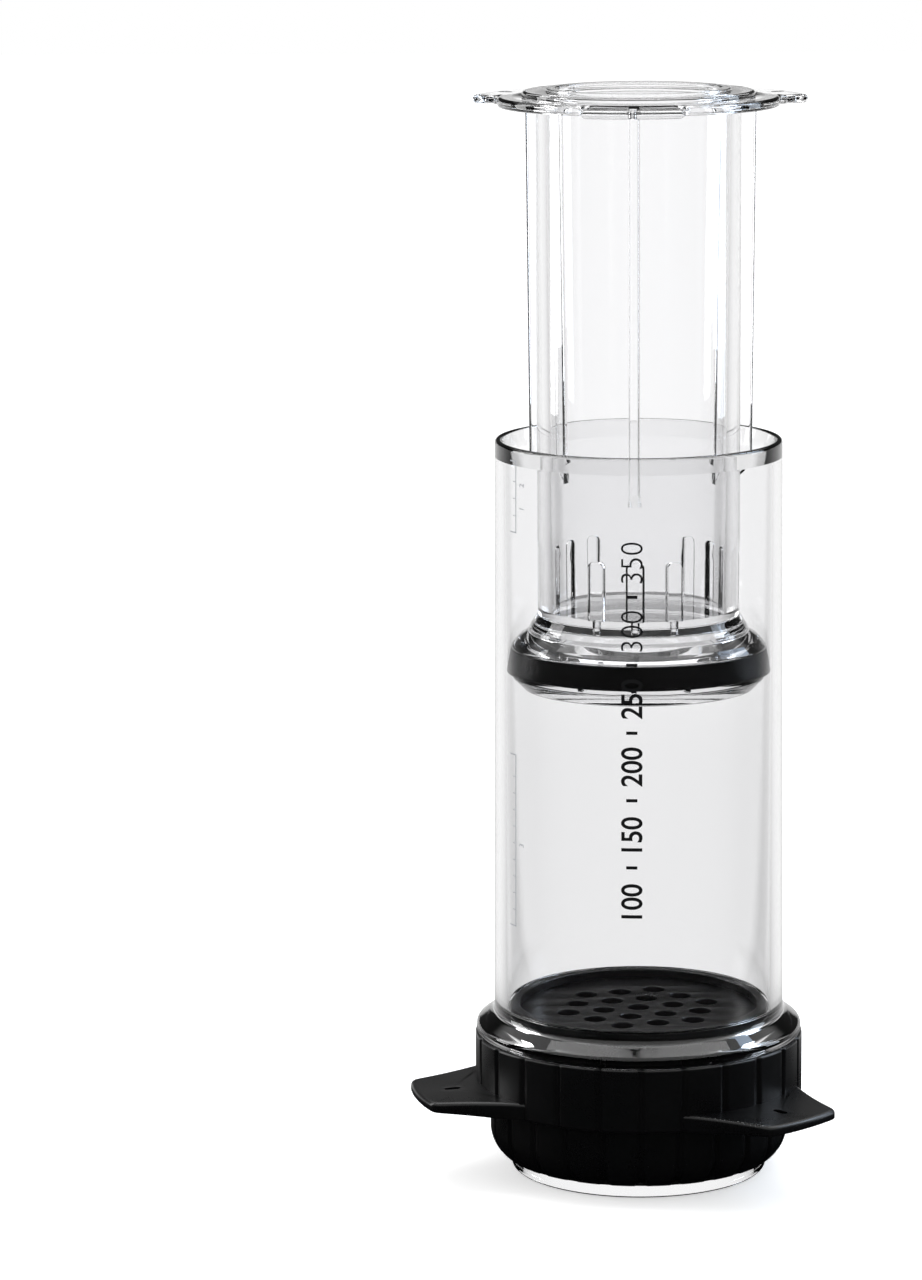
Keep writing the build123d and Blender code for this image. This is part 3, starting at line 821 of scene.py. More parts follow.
def tongue(buried, root_half, reach, tip_half, sag):
    """The outline of a wing or tab along +X, anticlockwise, with square corners."""
    root_x, tip_x = math.sqrt(buried**2 - root_half**2), math.sqrt(reach**2 - tip_half**2)
    side = math.hypot(tip_x - root_x, root_half - tip_half)
    middle = (
        (root_x + tip_x) / 2 - sag * (root_half - tip_half) / side,
        (root_half + tip_half) / 2 - sag * (tip_x - root_x) / side,
    )
    low_side = arc_through((root_x, -root_half), (middle[0], -middle[1]), (tip_x, -tip_half), 60)
    end = arc_through((tip_x, -tip_half), (reach, 0), (tip_x, tip_half), 60)
    high_side = arc_through((tip_x, tip_half), middle, (root_x, root_half), 60)
    back = arc_through((root_x, root_half), (buried, 0), (root_x, -root_half), 60)
    return np.concatenate([low_side[:-1], end[:-1], high_side[:-1], back[:-1]])


def slot_outline(middle, angles):
    """The points of a round-ended slot along +X, in given directions from its middle."""
    half, end = (SLOT_LONG - SLOT_WIDE) / 2, SLOT_WIDE / 2
    x, y = np.cos(angles), np.sin(angles)
    reach = end / np.maximum(abs(y), 1e-9)
    beyond = abs(x * reach) > half
    # Where the ray meets the round end: |t * (x, y) - (half, 0)| = end
    root = np.sqrt(np.maximum(0, (half * x) ** 2 - half**2 + end**2))
    reach = np.where(beyond, abs(half * x) + root, reach)
    return np.stack([middle + reach * x, reach * y], axis=1)


def level_loop(plan, height):
    """A plan outline at a height, which may differ from point to point."""
    return np.concatenate([plan, np.broadcast_to(height, (len(plan),))[:, None]], axis=1)


def rotated(points, turn):
    """Points turned about the axis. Heights, where there are any, stay as they are."""
    x, y = points[..., 0], points[..., 1]
    turned = points.copy()
    turned[..., 0] = x * math.cos(turn) - y * math.sin(turn)
    turned[..., 1] = x * math.sin(turn) + y * math.cos(turn)
    return turned


def joined(name, meshes):
    """Several closed meshes as one."""
    points, faces, start = [], [], 0
    for mesh in meshes:
        points.append(points_of(mesh))
        faces += [[start + number for number in face.vertices] for face in mesh.polygons]
        start += len(mesh.vertices)
    result = bpy.data.meshes.new(name)
    result.from_pydata(np.concatenate(points).tolist(), [], faces)
    finish_shading(result)
    return result


print("outline helpers ready")

# %% [markdown]
# The collar is a ribbed ring with three wings. A wing is a flat plate with concave sides, a
# round end, a rounded upper edge and a small slot. Its surface is a closed band: it runs
# from the slot's foot out under the wing, up its edge, in over its top and down the slot
# again. So the grid's columns go round the outline, and each column's inner point lies on
# the slot, in the same direction from the slot's middle.

# %% The winged collar
COLLAR_R = 39.2
WING_FOOT = 18.2
WING_REACH, WING_TIP_HALF, WING_ROOT_HALF = 55.0, 11.5, 21.0
WING_BURIED = 37.6
WING_SAG = 1.0
WING_CORNER = 3.6
WING_ROOT_THICK, WING_TIP_THICK = 3.9, 3.4
WING_LIFT = 1.2
WING_EDGE = 1.0
WING_UNDER_EDGE = 0.35
WING_SLOT_AT = 46.2
WING_TURNS = np.radians([46.0, 166.0, 286.0])
WING_COLUMNS = 220
UNDER_INSET, UNDER_SHARES, TOP_SHARES = 0.8, (0.3, 0.65), (0.65, 0.3, 0.08)
SLOT_LIP = 0.1

collar_line = section(
    [
        (36.0, WING_FOOT, 0.3),
        (COLLAR_R, WING_FOOT, 0.6),
        (COLLAR_R, 33.5, 0.6),
        (33.4, 33.5, 0.3),
        (33.4, CAP_TOP),
        (36.0, CAP_TOP),
    ],
    longest=4.0,
)
collar_grooved = column(collar_line[:, 0] > 37.5)
collar_radii = column(collar_line[:, 0]) - collar_grooved * groove_depths
collar_grid = at(collar_radii, column(collar_line[:, 1]), grooved_angles(collar_line[:, 0]))

wing_outline = tongue(WING_BURIED, WING_ROOT_HALF, WING_REACH, WING_TIP_HALF, WING_SAG)
wing_outline = softened(even_steps(wing_outline, 900), WING_CORNER / 2)
wing_outline = even_steps(wing_outline, WING_COLUMNS)
slot_angles = np.arctan2(wing_outline[:, 1], wing_outline[:, 0] - WING_SLOT_AT)
slot = slot_outline(WING_SLOT_AT, slot_angles)


def wing_top(points):
    """The height of the wing's top, which falls evenly from the ring to the tip."""
    share = (points[:, 0] - COLLAR_R) / (WING_REACH - COLLAR_R)
    thick = WING_ROOT_THICK + np.maximum(share, -0.2) * (WING_TIP_THICK - WING_ROOT_THICK)
    return WING_FOOT + thick


def wing_under(points):
    """The height of the wing's underside, which rises evenly from the ring to the tip."""
    share = (points[:, 0] - COLLAR_R) / (WING_REACH - COLLAR_R)
    return WING_FOOT + np.maximum(share, 0) * WING_LIFT


print(len(wing_outline), "columns round a wing")

# %% [markdown]
# The rows of a wing's band, in order: out under the wing, up round its lower and then its
# upper edge, and in over the top. Each is the outline moved inwards, at the height of the
# underside or of the top.

# %% The wing's rows
quarter = np.linspace(0, math.pi / 2, 6)
rows = [level_loop(slot, wing_under(slot))]
for share in UNDER_SHARES:
    plan = slot + (inward(wing_outline, UNDER_INSET) - slot) * share
    rows.append(level_loop(plan, wing_under(plan)))
plan = inward(wing_outline, WING_UNDER_EDGE + HOLD)
rows.append(level_loop(plan, wing_under(plan)))
for angle in quarter:
    plan = inward(wing_outline, WING_UNDER_EDGE * (1 - math.sin(angle)))
    rows.append(level_loop(plan, wing_under(plan) + WING_UNDER_EDGE * (1 - math.cos(angle))))
for angle in quarter:
    plan = inward(wing_outline, WING_EDGE * (1 - math.cos(angle)))
    rows.append(level_loop(plan, wing_top(plan) - WING_EDGE * (1 - math.sin(angle))))
plan = inward(wing_outline, WING_EDGE + HOLD)
rows.append(level_loop(plan, wing_top(plan)))
for share in TOP_SHARES:
    inner = slot + (plan - slot) * share
    rows.append(level_loop(inner, wing_top(inner)))
rows.append(level_loop(slot, wing_top(slot) - SLOT_LIP))
wing_grid = np.array(rows)
wings = [grid_mesh("wing", rotated(wing_grid, turn - math.pi / 2)) for turn in WING_TURNS]
collar = joined("winged_collar", [grid_mesh("collar", collar_grid), *wings])
add_piece("collar_with_wings", collar, black_plastic, "collar", "black_plastic", "winged_collar")

# %% [markdown]
# The filter plate is a disc with 19 round holes inside a raised rim. A flat curve does the
# disc best: Blender fills an outline and leaves every circle inside it open. The rim is a
# grid, and the ribs below are prisms between the rows of holes.

# %% Flat sheets with holes


def circle(middle, radius, count):
    """A ring of flat points round a middle."""
    angles = np.linspace(0, 2 * math.pi, count, endpoint=False)
    return middle + radius * np.stack([np.cos(angles), np.sin(angles)], axis=1)


def flat_sheet(name, outlines, foot, top, edge):
    """A flat curve, filled between its outlines, as a mesh with softened edges. The bevel
    grows an outline by its own size, so the outlines are given that much smaller."""
    curve = bpy.data.curves.new(name, "CURVE")
    curve.dimensions = "2D"
    curve.fill_mode = "BOTH"
    curve.extrude = ((top - foot) / 2 - edge) * MM
    curve.bevel_depth = edge * MM
    curve.bevel_resolution = 2
    curve.offset = -edge * MM
    for outline in outlines:
        spline = curve.splines.new("POLY")
        spline.points.add(len(outline) - 1)
        flat = np.zeros((len(outline), 4), np.float32)
        flat[:, :2] = outline * MM
        flat[:, 3] = 1
        spline.points.foreach_set("co", flat.ravel())
        spline.use_cyclic_u = True
    mesh = evaluated_mesh(bpy.data.objects.new(name, curve))
    shape = bmesh.new()
    shape.from_mesh(mesh)
    bmesh.ops.remove_doubles(shape, verts=shape.verts, dist=1e-7)
    bmesh.ops.recalc_face_normals(shape, faces=shape.faces)
    shape.to_mesh(mesh)
    shape.free()
    mesh.transform(Matrix.Translation((0, 0, (foot + top) / 2 * MM)))
    finish_shading(mesh)
    return mesh


print("sheet helpers ready")

# %% The filter plate
PLATE_FOOT, PLATE_TOP, PLATE_RIM = 36.3, 38.8, 40.9
PLATE_R, RIM_BORE = 30.7, 28.5
DISC_R = 29.0
HOLE_R, HOLE_PITCH = 2.7, 8.7
HOLE_TURN = math.radians(17.5)
HOLE_EDGE = 0.2
RIB_THICK, RIB_HIGH, RIB_BURIED, RIB_RING = 1.4, 3.0, 0.5, 28.2
hole_middles = np.array(
    [
        ((step - (4 - abs(row)) / 2) * HOLE_PITCH, row * HOLE_PITCH * math.sin(math.pi / 3))
        for row in range(-2, 3)
        for step in range(5 - abs(row))
    ]
)

holes = [circle(middle, HOLE_R, 40) for middle in rotated(hole_middles, HOLE_TURN)]
outlines = [circle((0, 0), DISC_R, 160), *holes]
disc = flat_sheet("disc", outlines, PLATE_FOOT, PLATE_TOP, HOLE_EDGE)
rim_line = section(
    [
        (RIM_BORE, PLATE_FOOT),
        (PLATE_R, PLATE_FOOT),
        (PLATE_R, PLATE_RIM, 0.4),
        (RIM_BORE, PLATE_RIM, 0.4),
    ]
)
rim = grid_mesh("rim", revolved(rim_line, plain_angles))
rib_at = (np.arange(4) - 1.5) * HOLE_PITCH * math.sin(math.pi / 3)
rib_half = np.sqrt(RIB_RING**2 - (abs(rib_at) + RIB_THICK / 2) ** 2)
rib_corners = np.array([[-1, -1], [1, -1], [1, 1], [-1, 1]])
rib_plans = rib_corners * np.stack([rib_half, np.full(4, RIB_THICK / 2)], 1)[:, None]
rib_plans[..., 1] += rib_at[:, None]
rib_plans = rotated(rib_plans, HOLE_TURN)
ribs = prisms("ribs", rib_plans, PLATE_FOOT - RIB_HIGH, PLATE_FOOT + RIB_BURIED)
plate = joined("filter_plate", [disc, rim, ribs])
add_piece("perforated_plate", plate, plate_plastic, "cap", "black_plastic", "filter_plate")

# %% [markdown]
# The plunger is the inner tube, moulded with three guide fins outside and nine short grooves
# inside, each with a port through the floor. The grooves stand in three groups, one behind
# each fin. One grid makes it all. Each of its 15 sectors has columns across a groove, cut or
# not, and the fins' sectors have more of them, which go out along one side of a fin, over
# its tip and back. A row above the grooves leaves them flat, and a row below the fins' ends
# leaves the fins out.

# %% The plunger's columns
SECTORS = 15
SECTOR = 2 * math.pi / SECTORS
FIN_TURN = math.radians(-2.0)
FLUTE_HALF, FLUTE_R = 1.9, 21.8
FLUTE_BEVEL, FLUTE_FILLET = 0.15, 0.3
FIN_HALF = 1.15
FIN_ROUND = 0.55
TUBE_R = 23.9

has_flute = np.isin(np.arange(SECTORS) % 5, (0, 1, 4))
flute_plain = np.array([-1, -0.86, -0.6, -0.3, 0, 0.3, 0.6, 0.86, 1])
side_shares = np.array([0.0, 0.02, 0.25, 0.5, 0.75, 0.97])
tip_turns = np.radians([0, 18, 36, 54, 72, 90])
FIN_COLUMNS = 2 * (len(side_shares) + len(tip_turns)) + 1
flute_fin = np.concatenate([[-1, -0.86], np.linspace(-0.8, 0.8, FIN_COLUMNS), [0.86, 1]])
beyond = np.array([1.06, 1.15, 1.4, 1.7])

across, is_floor, sector_of, fin_part = [], [], [], []
for sector in range(SECTORS):
    has_fin = sector % 5 == 0
    flute = flute_fin if has_fin else flute_plain
    side = np.concatenate([[1.0], beyond])
    one = np.concatenate([-side[::-1], flute, side, [2.0]])
    bottom = np.zeros(len(one))
    bottom[len(side) : len(side) + len(flute)] = has_flute[sector]
    part = np.full(len(one), -1)
    if has_fin:
        first = len(side) + 2
        part[first : first + FIN_COLUMNS] = np.arange(FIN_COLUMNS)
    across.append(one)
    is_floor.append(bottom)
    sector_of.append(np.full(len(one), sector))
    fin_part.append(part)
across, is_floor, sector_of, fin_part = (
    np.concatenate(item) for item in (across, is_floor, sector_of, fin_part)
)
centres = FIN_TURN + sector_of * SECTOR
is_floor = is_floor.astype(bool)
beside_flute = has_flute[sector_of]
print(len(across), "columns,", FIN_COLUMNS, "of them across each fin")

# %% [markdown]
# The inner wall at a height is a circle of the bore's radius, with each groove cut into it as
# a channel with upright sides and a flat floor. Columns in a groove lie at share * w to the
# side of its middle, where w is half the groove's width, and the rest share out what is left
# of the sector. Near the groove's top, w shrinks by r * (1 - cos(t)) while the height grows
# by r * sin(t), which rounds its two corners.

# %% The plunger's rows
TUBE_FLOOR, TUBE_TOP = 136.6, 256.68
FLOOR_BORE, MOUTH_BORE = 20.4, 21.7
FLUTE_CORNER = 1.3
FLUTE_HIGH = 13.9
ARCH = TUBE_FLOOR + FLUTE_HIGH - FLUTE_CORNER
FIN_TOP, FIN_END, FIN_FOOT = 254.7, 167.6, 164.0
FIN_TOP_R, FIN_END_R = 31.1, 30.2
SHOULDER_R, SHOULDER_FOOT = 30.2, 127.62
SPIGOT_R, SPIGOT_BORE, SPIGOT_FOOT = 27.0, 24.6, 122.04
FLOOR_UNDER = 133.6
PORT_R, PORT_AT = 1.0, 20.6
PORT_FOOT, PORT_TOP = 131.0, 137.4
FLOOR_ROWS = (4.0, 9.0, 14.0, 18.2)
# Above the grooves the columns spread again: each rise, and half the width they span there
SPREAD_ROWS = ((0.3, 0.7), (1.0, 1.0), (2.2, 1.5), (4.0, 1.9))
PLAIN_FROM = 160.0


def inner_row(height, bore, half, cut):
    """One row of the inner wall, with or without the grooves cut into it."""
    edge = math.asin(half / bore)
    lateral = np.clip(across, -1, 1) * half
    at_edge = abs(across) == 1
    on_bore = np.sqrt(bore**2 - lateral**2) + at_edge * cut * beside_flute * FLUTE_BEVEL
    radial = np.where(is_floor & cut, FLUTE_R - at_edge * FLUTE_FILLET, on_bore)
    angle = np.arctan2(lateral, radial)
    radius = np.hypot(lateral, radial)
    outside = abs(across) > 1
    spread = np.sign(across) * (edge + (SECTOR / 2 - edge) * (abs(across) - 1))
    angle = np.where(outside, spread, angle)
    radius = np.where(outside, bore, radius)
    return at(radius, height, centres + angle)


plain_spread = inner_row(0, FLUTE_R - 0.1, FLUTE_HALF, False)
column_angles = np.arctan2(plain_spread[:, 0], -plain_spread[:, 1])


def round_row(radius, height):
    """One plain circle, on the inner wall's own angles."""
    return at(radius, height, column_angles)


def fin_row(height, reach):
    """One row of the outer wall with the fins: a circle of the tube's radius, and at each
    fin a detour out along its side, round its tip and back."""
    root = math.sqrt(TUBE_R**2 - FIN_HALF**2)
    straight_end = reach - FIN_ROUND
    along = np.concatenate(
        [root + (straight_end - root) * side_shares, straight_end + FIN_ROUND * np.sin(tip_turns)]
    )
    aside = np.concatenate([0 * side_shares, FIN_ROUND * (1 - np.cos(tip_turns))]) - FIN_HALF
    half_way = np.stack([along, aside], axis=1)
    outline = np.concatenate([half_way, [[reach, 0]], half_way[::-1] * (1, -1)])
    radius = np.full(len(across), TUBE_R)
    angle = column_angles.copy()
    on_fin = fin_part >= 0
    detour = outline[fin_part[on_fin]]
    radius[on_fin] = np.hypot(detour[:, 0], detour[:, 1])
    angle[on_fin] = centres[on_fin] + np.arctan2(detour[:, 1], detour[:, 0])
    return at(radius, height, angle)


def bore_at(height):
    """The bore's radius, which widens evenly from the floor to the mouth."""
    share = (height - TUBE_FLOOR) / (TUBE_TOP - TUBE_FLOOR)
    return FLOOR_BORE + (MOUTH_BORE - FLOOR_BORE) * share


print("the grooves' corners begin at", ARCH, "mm")

# %% The plunger
rows = [round_row(radius, TUBE_FLOOR) for radius in FLOOR_ROWS]
for height in (TUBE_FLOOR, TUBE_FLOOR + 0.1, TUBE_FLOOR + 4, TUBE_FLOOR + 8, ARCH):
    rows.append(inner_row(height, bore_at(height), FLUTE_HALF, True))
for rise in np.radians([15, 30, 45, 60, 75, 90]):
    height = ARCH + FLUTE_CORNER * math.sin(rise)
    half = FLUTE_HALF - FLUTE_CORNER * (1 - math.cos(rise))
    rows.append(inner_row(height, bore_at(height), half, True))
rows.append(inner_row(height + 0.01, bore_at(height), half, False))
for rise, half in SPREAD_ROWS:
    rows.append(inner_row(height + rise, bore_at(height + rise), half, False))
for height in np.linspace(PLAIN_FROM, TUBE_TOP - 3, 13):
    rows.append(inner_row(height, bore_at(height), FLUTE_HALF, False))
mouth_line = section(
    [
        (bore_at(TUBE_TOP - 2), TUBE_TOP - 2),
        (MOUTH_BORE, TUBE_TOP, 0.3),
        (TUBE_R, TUBE_TOP, 0.3),
        (TUBE_R, FIN_TOP + 0.8),
    ],
    closed=False,
)
rows += [round_row(radius, height) for radius, height in mouth_line]
rows.append(round_row(TUBE_R, FIN_TOP))
for height in np.linspace(FIN_TOP, FIN_END, 14):
    share = (FIN_TOP - height) / (FIN_TOP - FIN_END)
    rows.append(fin_row(height, FIN_TOP_R + (FIN_END_R - FIN_TOP_R) * share))
foot_line = section(
    [
        (TUBE_R, FIN_FOOT),
        (TUBE_R, 150.0),
        (TUBE_R, 135.2, 0.8),
        (25.9, 132.2, 0.35),
        (26.1, 131.2, 0.35),
        (28.5, 129.75, 1.2),
        (SHOULDER_R, 128.1, 0.5),
        (SHOULDER_R, SHOULDER_FOOT, 0.15),
        (SPIGOT_R, SHOULDER_FOOT),
        (SPIGOT_R, SPIGOT_FOOT, 0.3),
        (SPIGOT_BORE, SPIGOT_FOOT, 0.3),
        (SPIGOT_BORE, FLOOR_UNDER, 0.5),
        (18.5, FLOOR_UNDER),
        (12.0, FLOOR_UNDER),
        (5.0, FLOOR_UNDER),
    ],
    closed=False,
)
rows += [round_row(radius, height) for radius, height in foot_line]
tube = grid_mesh("plunger", np.array(rows), poles=True)

sector_turns = FIN_TURN + np.arange(SECTORS) * SECTOR
port_turns = sector_turns[has_flute]
port_middles = PORT_AT * np.stack([np.sin(port_turns), -np.cos(port_turns)], axis=1)
ports = np.array([circle(middle, PORT_R, 24) for middle in port_middles])
tube = cut_away(tube, prisms("ports", ports, PORT_FOOT, PORT_TOP))
add_piece("plunger_with_fins", tube, clear_plastic, "plunger", "clear_plastic", "plunger_tube")

# %% [markdown]
# The piston seal is a silicone ring that widens downwards to a thin lip. Under it, the jet
# plate spreads the water: a clear disc with a hub in the plunger's foot and a ring of small
# channels on its top.

# %% The seal and the jet plate
SEAL_BORE, SEAL_FOOT, SEAL_TOP = 27.1, 122.05, 127.58
JET_FOOT, JET_TOP = 117.7, 122.0
JET_R, JET_MIDDLE = 30.0, 6.0
HUB_R, HUB_BORE, HUB_TOP = 24.45, 22.25, 126.6
CHANNEL_HALF, CHANNEL_DEEP = 0.6, 0.8

seal_line = section(
    [
        (SEAL_BORE, SEAL_FOOT, 0.1),
        (31.0, SEAL_FOOT, 0.15),
        (31.3, 122.6, 0.2),
        (30.3, SEAL_TOP, 0.25),
        (SEAL_BORE, SEAL_TOP, 0.1),
    ]
)
seal = grid_mesh("seal", revolved(seal_line, plain_angles))
add_piece("silicone_seal", seal, silicone, "seal", "black_silicone", "piston_seal")

jet_line = section(
    [
        (JET_MIDDLE, JET_FOOT),
        (27.3, JET_FOOT, 1.0),
        (JET_R, 120.7, 0.8),
        (JET_R, JET_TOP, 0.15),
        (HUB_R, JET_TOP),
        (HUB_R, HUB_TOP, 0.3),
        (HUB_BORE, HUB_TOP, 0.3),
        (HUB_BORE, JET_TOP, 0.3),
        (JET_MIDDLE, JET_TOP),
    ],
    longest=5.0,
    closed=False,
)
channel_sideways = CHANNEL_HALF * np.array([-1.5, -1.08, -1, -0.5, 0, 0.5, 1, 1.08, 1.5])
between = np.radians([4.0, 7.0, 10.0, 14.0, 17.0, 20.0])
jet_r = column(np.maximum(jet_line[:, 0], 20))
channel_angles = np.arcsin(channel_sideways / jet_r)
one = np.concatenate([channel_angles, np.tile(between, (len(jet_r), 1))], axis=1)
jet_angles = (sector_turns[None, :, None] + one[:, None, :]).reshape(len(jet_r), -1)
in_channel = np.concatenate(
    [abs(channel_sideways) <= CHANNEL_HALF, np.full(len(between), False)]
)
in_channel = (has_flute[:, None] & in_channel).ravel()
jet_heights = np.broadcast_to(column(jet_line[:, 1]), jet_angles.shape).copy()
on_top = column(jet_line[:, 0]) > HUB_R + 0.05
on_top &= column(jet_line[:, 1]) > JET_TOP - CHANNEL_DEEP
jet_heights = np.where(on_top & in_channel, JET_TOP - CHANNEL_DEEP, jet_heights)
jet = grid_mesh("jet", at(column(jet_line[:, 0]), jet_heights, jet_angles), poles=True)
add_piece("jet_disc", jet, clear_plastic, "plunger", "clear_plastic", "jet_plate")

# %% [markdown]
# The finger flange is a ring with three tabs to pull the plunger up by. Its outline is a
# circle with the tabs' outlines standing out of it, softened so that the shoulders run into
# the ring in an S. Rows step in from that outline to the round boss and the mouth. The tabs'
# tops lie a little lower than the ring's.

# %% The finger flange's outline
FLANGE_FOOT, FLANGE_TOP = 254.7, 257.0
FLANGE_R = 33.0
TAB_REACH, TAB_END_HALF, TAB_ROOT_HALF, TAB_SAG = 40.6, 11.5, 13.8, 0.5
TAB_BURIED = 30.1
TAB_SLOT_AT = 37.0
TAB_SOFT = 0.9
FLANGE_EDGE = 0.85
TAB_THINNER, THINNER_FROM, THINNER_TO = 0.14, 33.4, 35.2
FLANGE_NECK, NECK_SHARE = 31.5, 0.12
MOUTH_LIP_R, MOUTH_R = 21.6, 19.2
BOSS_R, BOSS_TOP, LIP_TOP = 27.2, 258.4, 259.0
SOCKET_R, SOCKET_TOP = 24.0, 256.7
RING_ROWS = (FLANGE_NECK, 30.0, 28.4)
FLANGE_COLUMNS = 540
THIRDS = np.arange(3) * 2 * math.pi / 3

tab = tongue(TAB_BURIED, TAB_ROOT_HALF, TAB_REACH, TAB_END_HALF, TAB_SAG)
tab = tab[np.hypot(tab[:, 0], tab[:, 1]) > TAB_BURIED + 0.01]
tab_angles, tab_radii = np.arctan2(tab[:, 1], tab[:, 0]), np.hypot(tab[:, 0], tab[:, 1])
order = np.argsort(tab_angles)
fine = np.linspace(-math.pi / 3, math.pi / 3, 700, endpoint=False)
reach = np.interp(fine, tab_angles[order], tab_radii[order], left=0, right=0)
reach = np.maximum(reach, FLANGE_R)
turns = np.concatenate([fine + FIN_TURN + third for third in THIRDS])
outline = np.tile(reach, 3)[:, None] * np.stack([np.sin(turns), -np.cos(turns)], axis=1)
outline = softened(even_steps(outline, 2400), TAB_SOFT)
outline = even_steps(outline, FLANGE_COLUMNS)
outline_turns = np.arctan2(outline[:, 0], -outline[:, 1])
held = inward(outline, FLANGE_EDGE + HOLD)

outline_reach = np.hypot(outline[:, 0], outline[:, 1])
on_tab = np.clip((outline_reach - THINNER_FROM) / (THINNER_TO - THINNER_FROM), 0, 1)
on_tab = TAB_THINNER * on_tab**2 * (3 - 2 * on_tab)
print(len(outline), "columns round the flange")

# %% The finger flange


def ring_loop(radius, height):
    """A circle on the outline's own angles."""
    return at(radius, height, outline_turns)


def thinned(height):
    """A height in the ring, which on the tabs is drawn down towards the ring's foot."""
    return height + on_tab * (FLANGE_FOOT - height)


def neck_loop(height):
    """A loop just outside the tabs' roots, already at the tabs' own height."""
    plan = ring_loop(FLANGE_NECK, height)[:, :2]
    return level_loop(plan + NECK_SHARE * (held - plan), thinned(height))


rows = []
for angle in quarter:
    plan = inward(outline, FLANGE_EDGE * (1 - math.sin(angle)))
    rows.append(level_loop(plan, thinned(FLANGE_FOOT + FLANGE_EDGE * (1 - math.cos(angle)))))
for angle in quarter:
    plan = inward(outline, FLANGE_EDGE * (1 - math.cos(angle)))
    rows.append(level_loop(plan, thinned(FLANGE_TOP - FLANGE_EDGE * (1 - math.sin(angle)))))
rows += [level_loop(held, thinned(FLANGE_TOP)), neck_loop(FLANGE_TOP)]
rows += [ring_loop(radius, FLANGE_TOP) for radius in RING_ROWS]
flange_line = section(
    [
        (BOSS_R, FLANGE_TOP, 0.3),
        (BOSS_R, BOSS_TOP, 0.7),
        (MOUTH_LIP_R, BOSS_TOP, 0.2),
        (MOUTH_LIP_R, LIP_TOP, 0.25),
        (MOUTH_R, LIP_TOP, 0.4),
        (MOUTH_R, SOCKET_TOP, 0.2),
        (SOCKET_R, SOCKET_TOP),
        (SOCKET_R, FLANGE_FOOT, 0.1),
        (25.5, FLANGE_FOOT),
        (29.0, FLANGE_FOOT),
    ],
    closed=False,
)
rows += [ring_loop(radius, height) for radius, height in flange_line]
rows += [ring_loop(FLANGE_NECK, FLANGE_FOOT), neck_loop(FLANGE_FOOT)]
rows.append(level_loop(held, thinned(FLANGE_FOOT)))
flange = grid_mesh("flange", np.array(rows))
slot_turns = np.linspace(0, 2 * math.pi, 48, endpoint=False)
tab_slot = slot_outline(TAB_SLOT_AT, slot_turns)
tab_slots = np.array([rotated(tab_slot, FIN_TURN + third - math.pi / 2) for third in THIRDS])
flange = cut_away(flange, prisms("tab_slots", tab_slots, FLANGE_FOOT - 1, FLANGE_TOP + 1))
add_piece("finger_flange_ring", flange, clear_plastic, "plunger", "clear_plastic", "finger_flange")

# %% [markdown]
# The chamber carries a plain printed scale: a number for every 50 ml from 100, in black up
# the front, with finer strokes at the top, and two pale brackets with small numbers further
# round. Ink is a thin skin, so each number and line is a flat closed shape, 0.04 mm thick,
# laid on the tube. A shape is cut into narrow strips first, because one long flat face would
# dip into the curved wall.

# %% Laying flat shapes on the tube
INK_FOOT, INK_TOP = 0.01, 0.05
INK_STRIP = 0.8


def chamber_radius(height):
    """The chamber's outer radius, which narrows evenly upwards."""
    share = (height - FLARE_TOP) / (RIM_TOP - FLARE_TOP)
    return CHAMBER_FOOT_R + (CHAMBER_RIM_R - CHAMBER_FOOT_R) * share


def on_tube(mesh, angle, height):
    """A flat mesh laid on the chamber. Its x goes up from a height, its y goes round to the
    left from an angle, as y / radius, and its z only tells its back from its front."""
    shape = bmesh.new()
    shape.from_mesh(mesh)
    bmesh.ops.remove_doubles(shape, verts=shape.verts, dist=1e-7)
    reach = max(abs(vertex.co.y) for vertex in shape.verts)
    for side in np.arange(-math.ceil(reach / MM / INK_STRIP), reach / MM / INK_STRIP + 1):
        everything = [*shape.verts, *shape.edges, *shape.faces]
        cut_at = (0, side * INK_STRIP * MM, 0)
        bmesh.ops.bisect_plane(
            shape, geom=everything, dist=1e-8, plane_co=cut_at, plane_no=(0, 1, 0)
        )
    bmesh.ops.recalc_face_normals(shape, faces=shape.faces)
    shape.to_mesh(mesh)
    shape.free()
    upward, leftward, front = points_of(mesh).T / MM
    level = height + upward
    radius = chamber_radius(level)
    skin = np.where(front > 0, INK_TOP, INK_FOOT)
    move_points(mesh, at(radius + skin, level, angle - leftward / radius))
    return mesh


def number(text, high, squeeze, bold):
    """A number as a flat closed mesh with its middle at the origin."""
    curve = bpy.data.curves.new("number", "FONT")
    curve.body = text
    curve.align_x, curve.align_y = "CENTER", "CENTER"
    curve.extrude = 0.02
    curve.offset = bold
    mesh = evaluated_mesh(bpy.data.objects.new("number", curve))
    places = points_of(mesh)
    low_corner, high_corner = places.min(axis=0), places.max(axis=0)
    size = high / (high_corner[1] - low_corner[1])
    middle = (low_corner + high_corner) / 2
    move_points(mesh, (places - middle) * (size * squeeze, size, 1.0))
    return mesh


def bars(boxes):
    """Flat bars as one mesh, from (low x, high x, low y, high y) boxes."""
    corners = np.array(boxes, float)[:, [[0, 2], [1, 2], [1, 3], [0, 3]]]
    return prisms("bars", corners, -0.01, 0.01)


print("ink", INK_TOP - INK_FOOT, "mm thick")

# %% The printed scale
SCALE_TURN = math.radians(-2.6)
LEVEL_ZERO = 41.0
LEVEL_STEP = 50000 / (math.pi * CHAMBER_BORE**2)
NUMBER_HIGH, NUMBER_SQUEEZE = 5.0, 0.92
BOLDER, LAST_BOLD = 0.014, 5
DASH_HALF, DASH_THICK = 1.3, 0.75

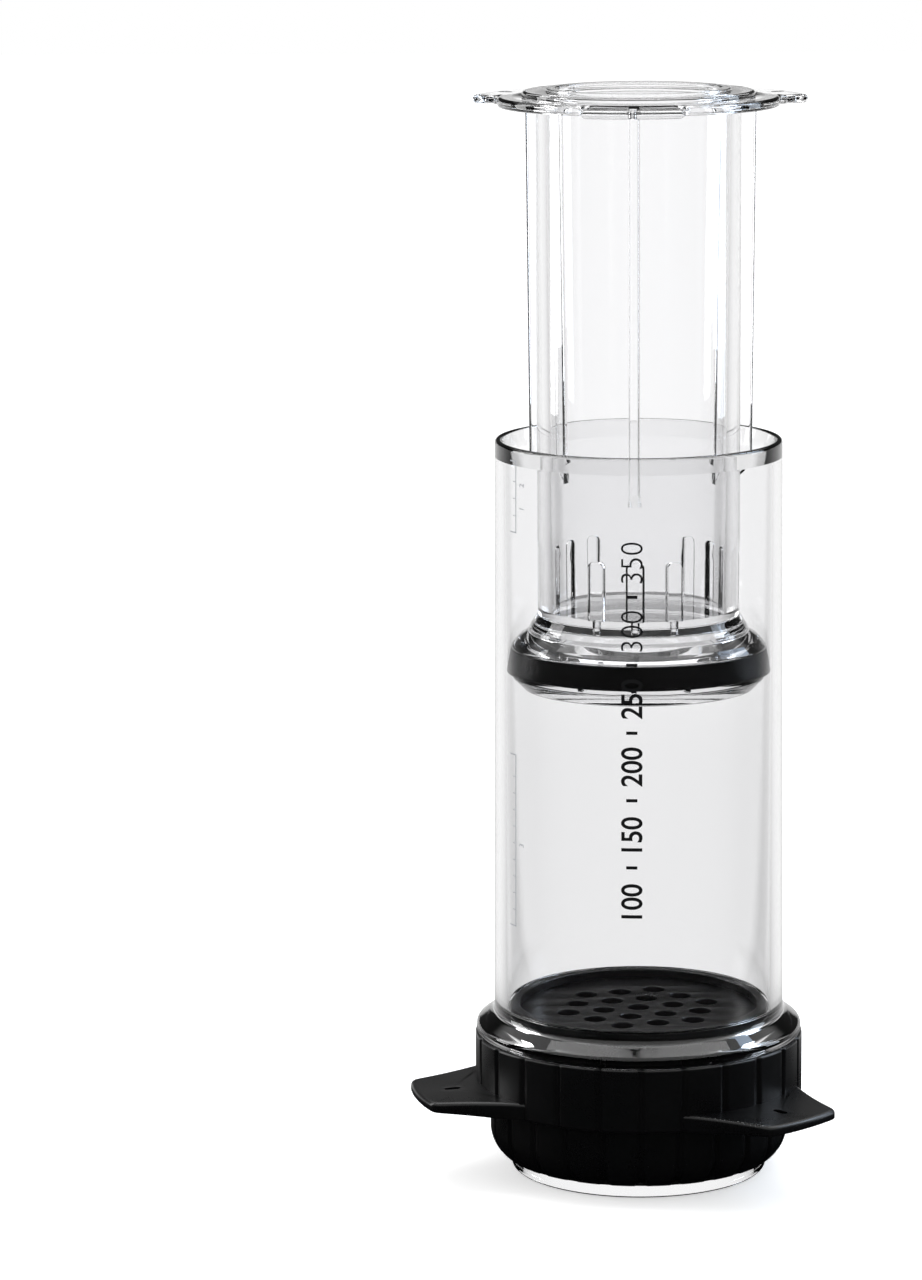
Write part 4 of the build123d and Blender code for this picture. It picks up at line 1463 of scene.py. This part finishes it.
scale = []
for step in range(2, 8):
    bold = BOLDER if step <= LAST_BOLD else -BOLDER
    digits = number(str(50 * step), NUMBER_HIGH, NUMBER_SQUEEZE, bold)
    scale.append(on_tube(digits, SCALE_TURN, LEVEL_ZERO + step * LEVEL_STEP))
dashes = [
    (level - DASH_THICK / 2, level + DASH_THICK / 2, -DASH_HALF, DASH_HALF)
    for level in (np.arange(2, 7) + 0.5) * LEVEL_STEP
]
scale.append(on_tube(bars(dashes), SCALE_TURN, LEVEL_ZERO))
add_piece("level_scale", joined("level_scale", scale), ink, "chamber", "black_plastic")

# %% The side brackets
BRACKET_TURN = math.radians(-57.0)
BRACKET_ENDS = ((63.0, 104.5), (157.0, 174.0))
BRACKET_LINE, BRACKET_WIDE = 0.3, 2.6
TICK_STEP, TICK_THICK, TICK_FROM, TICK_TO = 4.0, 0.2, 0.3, 1.3
SMALL_NUMBERS = (("1", 163.0), ("2", 168.5), ("3", 83.0))
SMALL_HIGH, SMALL_SQUEEZE, SMALL_TURN = 1.7, 0.9, 0.07

brackets = []
for foot, top in BRACKET_ENDS:
    line = [(foot, top, -BRACKET_LINE / 2, BRACKET_LINE / 2)]
    line += [(end, end + BRACKET_LINE, 0.0, BRACKET_WIDE) for end in (foot, top - BRACKET_LINE)]
    ticks = np.arange(foot + TICK_STEP, top - TICK_STEP / 2, TICK_STEP)
    line += [(level, level + TICK_THICK, TICK_FROM, TICK_TO) for level in ticks]
    brackets.append(on_tube(bars(line), BRACKET_TURN, 0.0))
for text, height in SMALL_NUMBERS:
    small = number(text, SMALL_HIGH, SMALL_SQUEEZE, 0.0)
    brackets.append(on_tube(small, BRACKET_TURN + SMALL_TURN, height))
add_piece("side_brackets", joined("side_brackets", brackets), pale_ink, "chamber", "black_plastic")

# %% [markdown]
# The gasket is hidden between the cap and the chamber. Its CAD ring is right as it is, and
# only needs a finish.

# %% The hidden gasket
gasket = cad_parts["chamber_gasket"]
gasket.data.materials.clear()
gasket.data.materials.append(silicone)
print("the gasket keeps its CAD mesh")
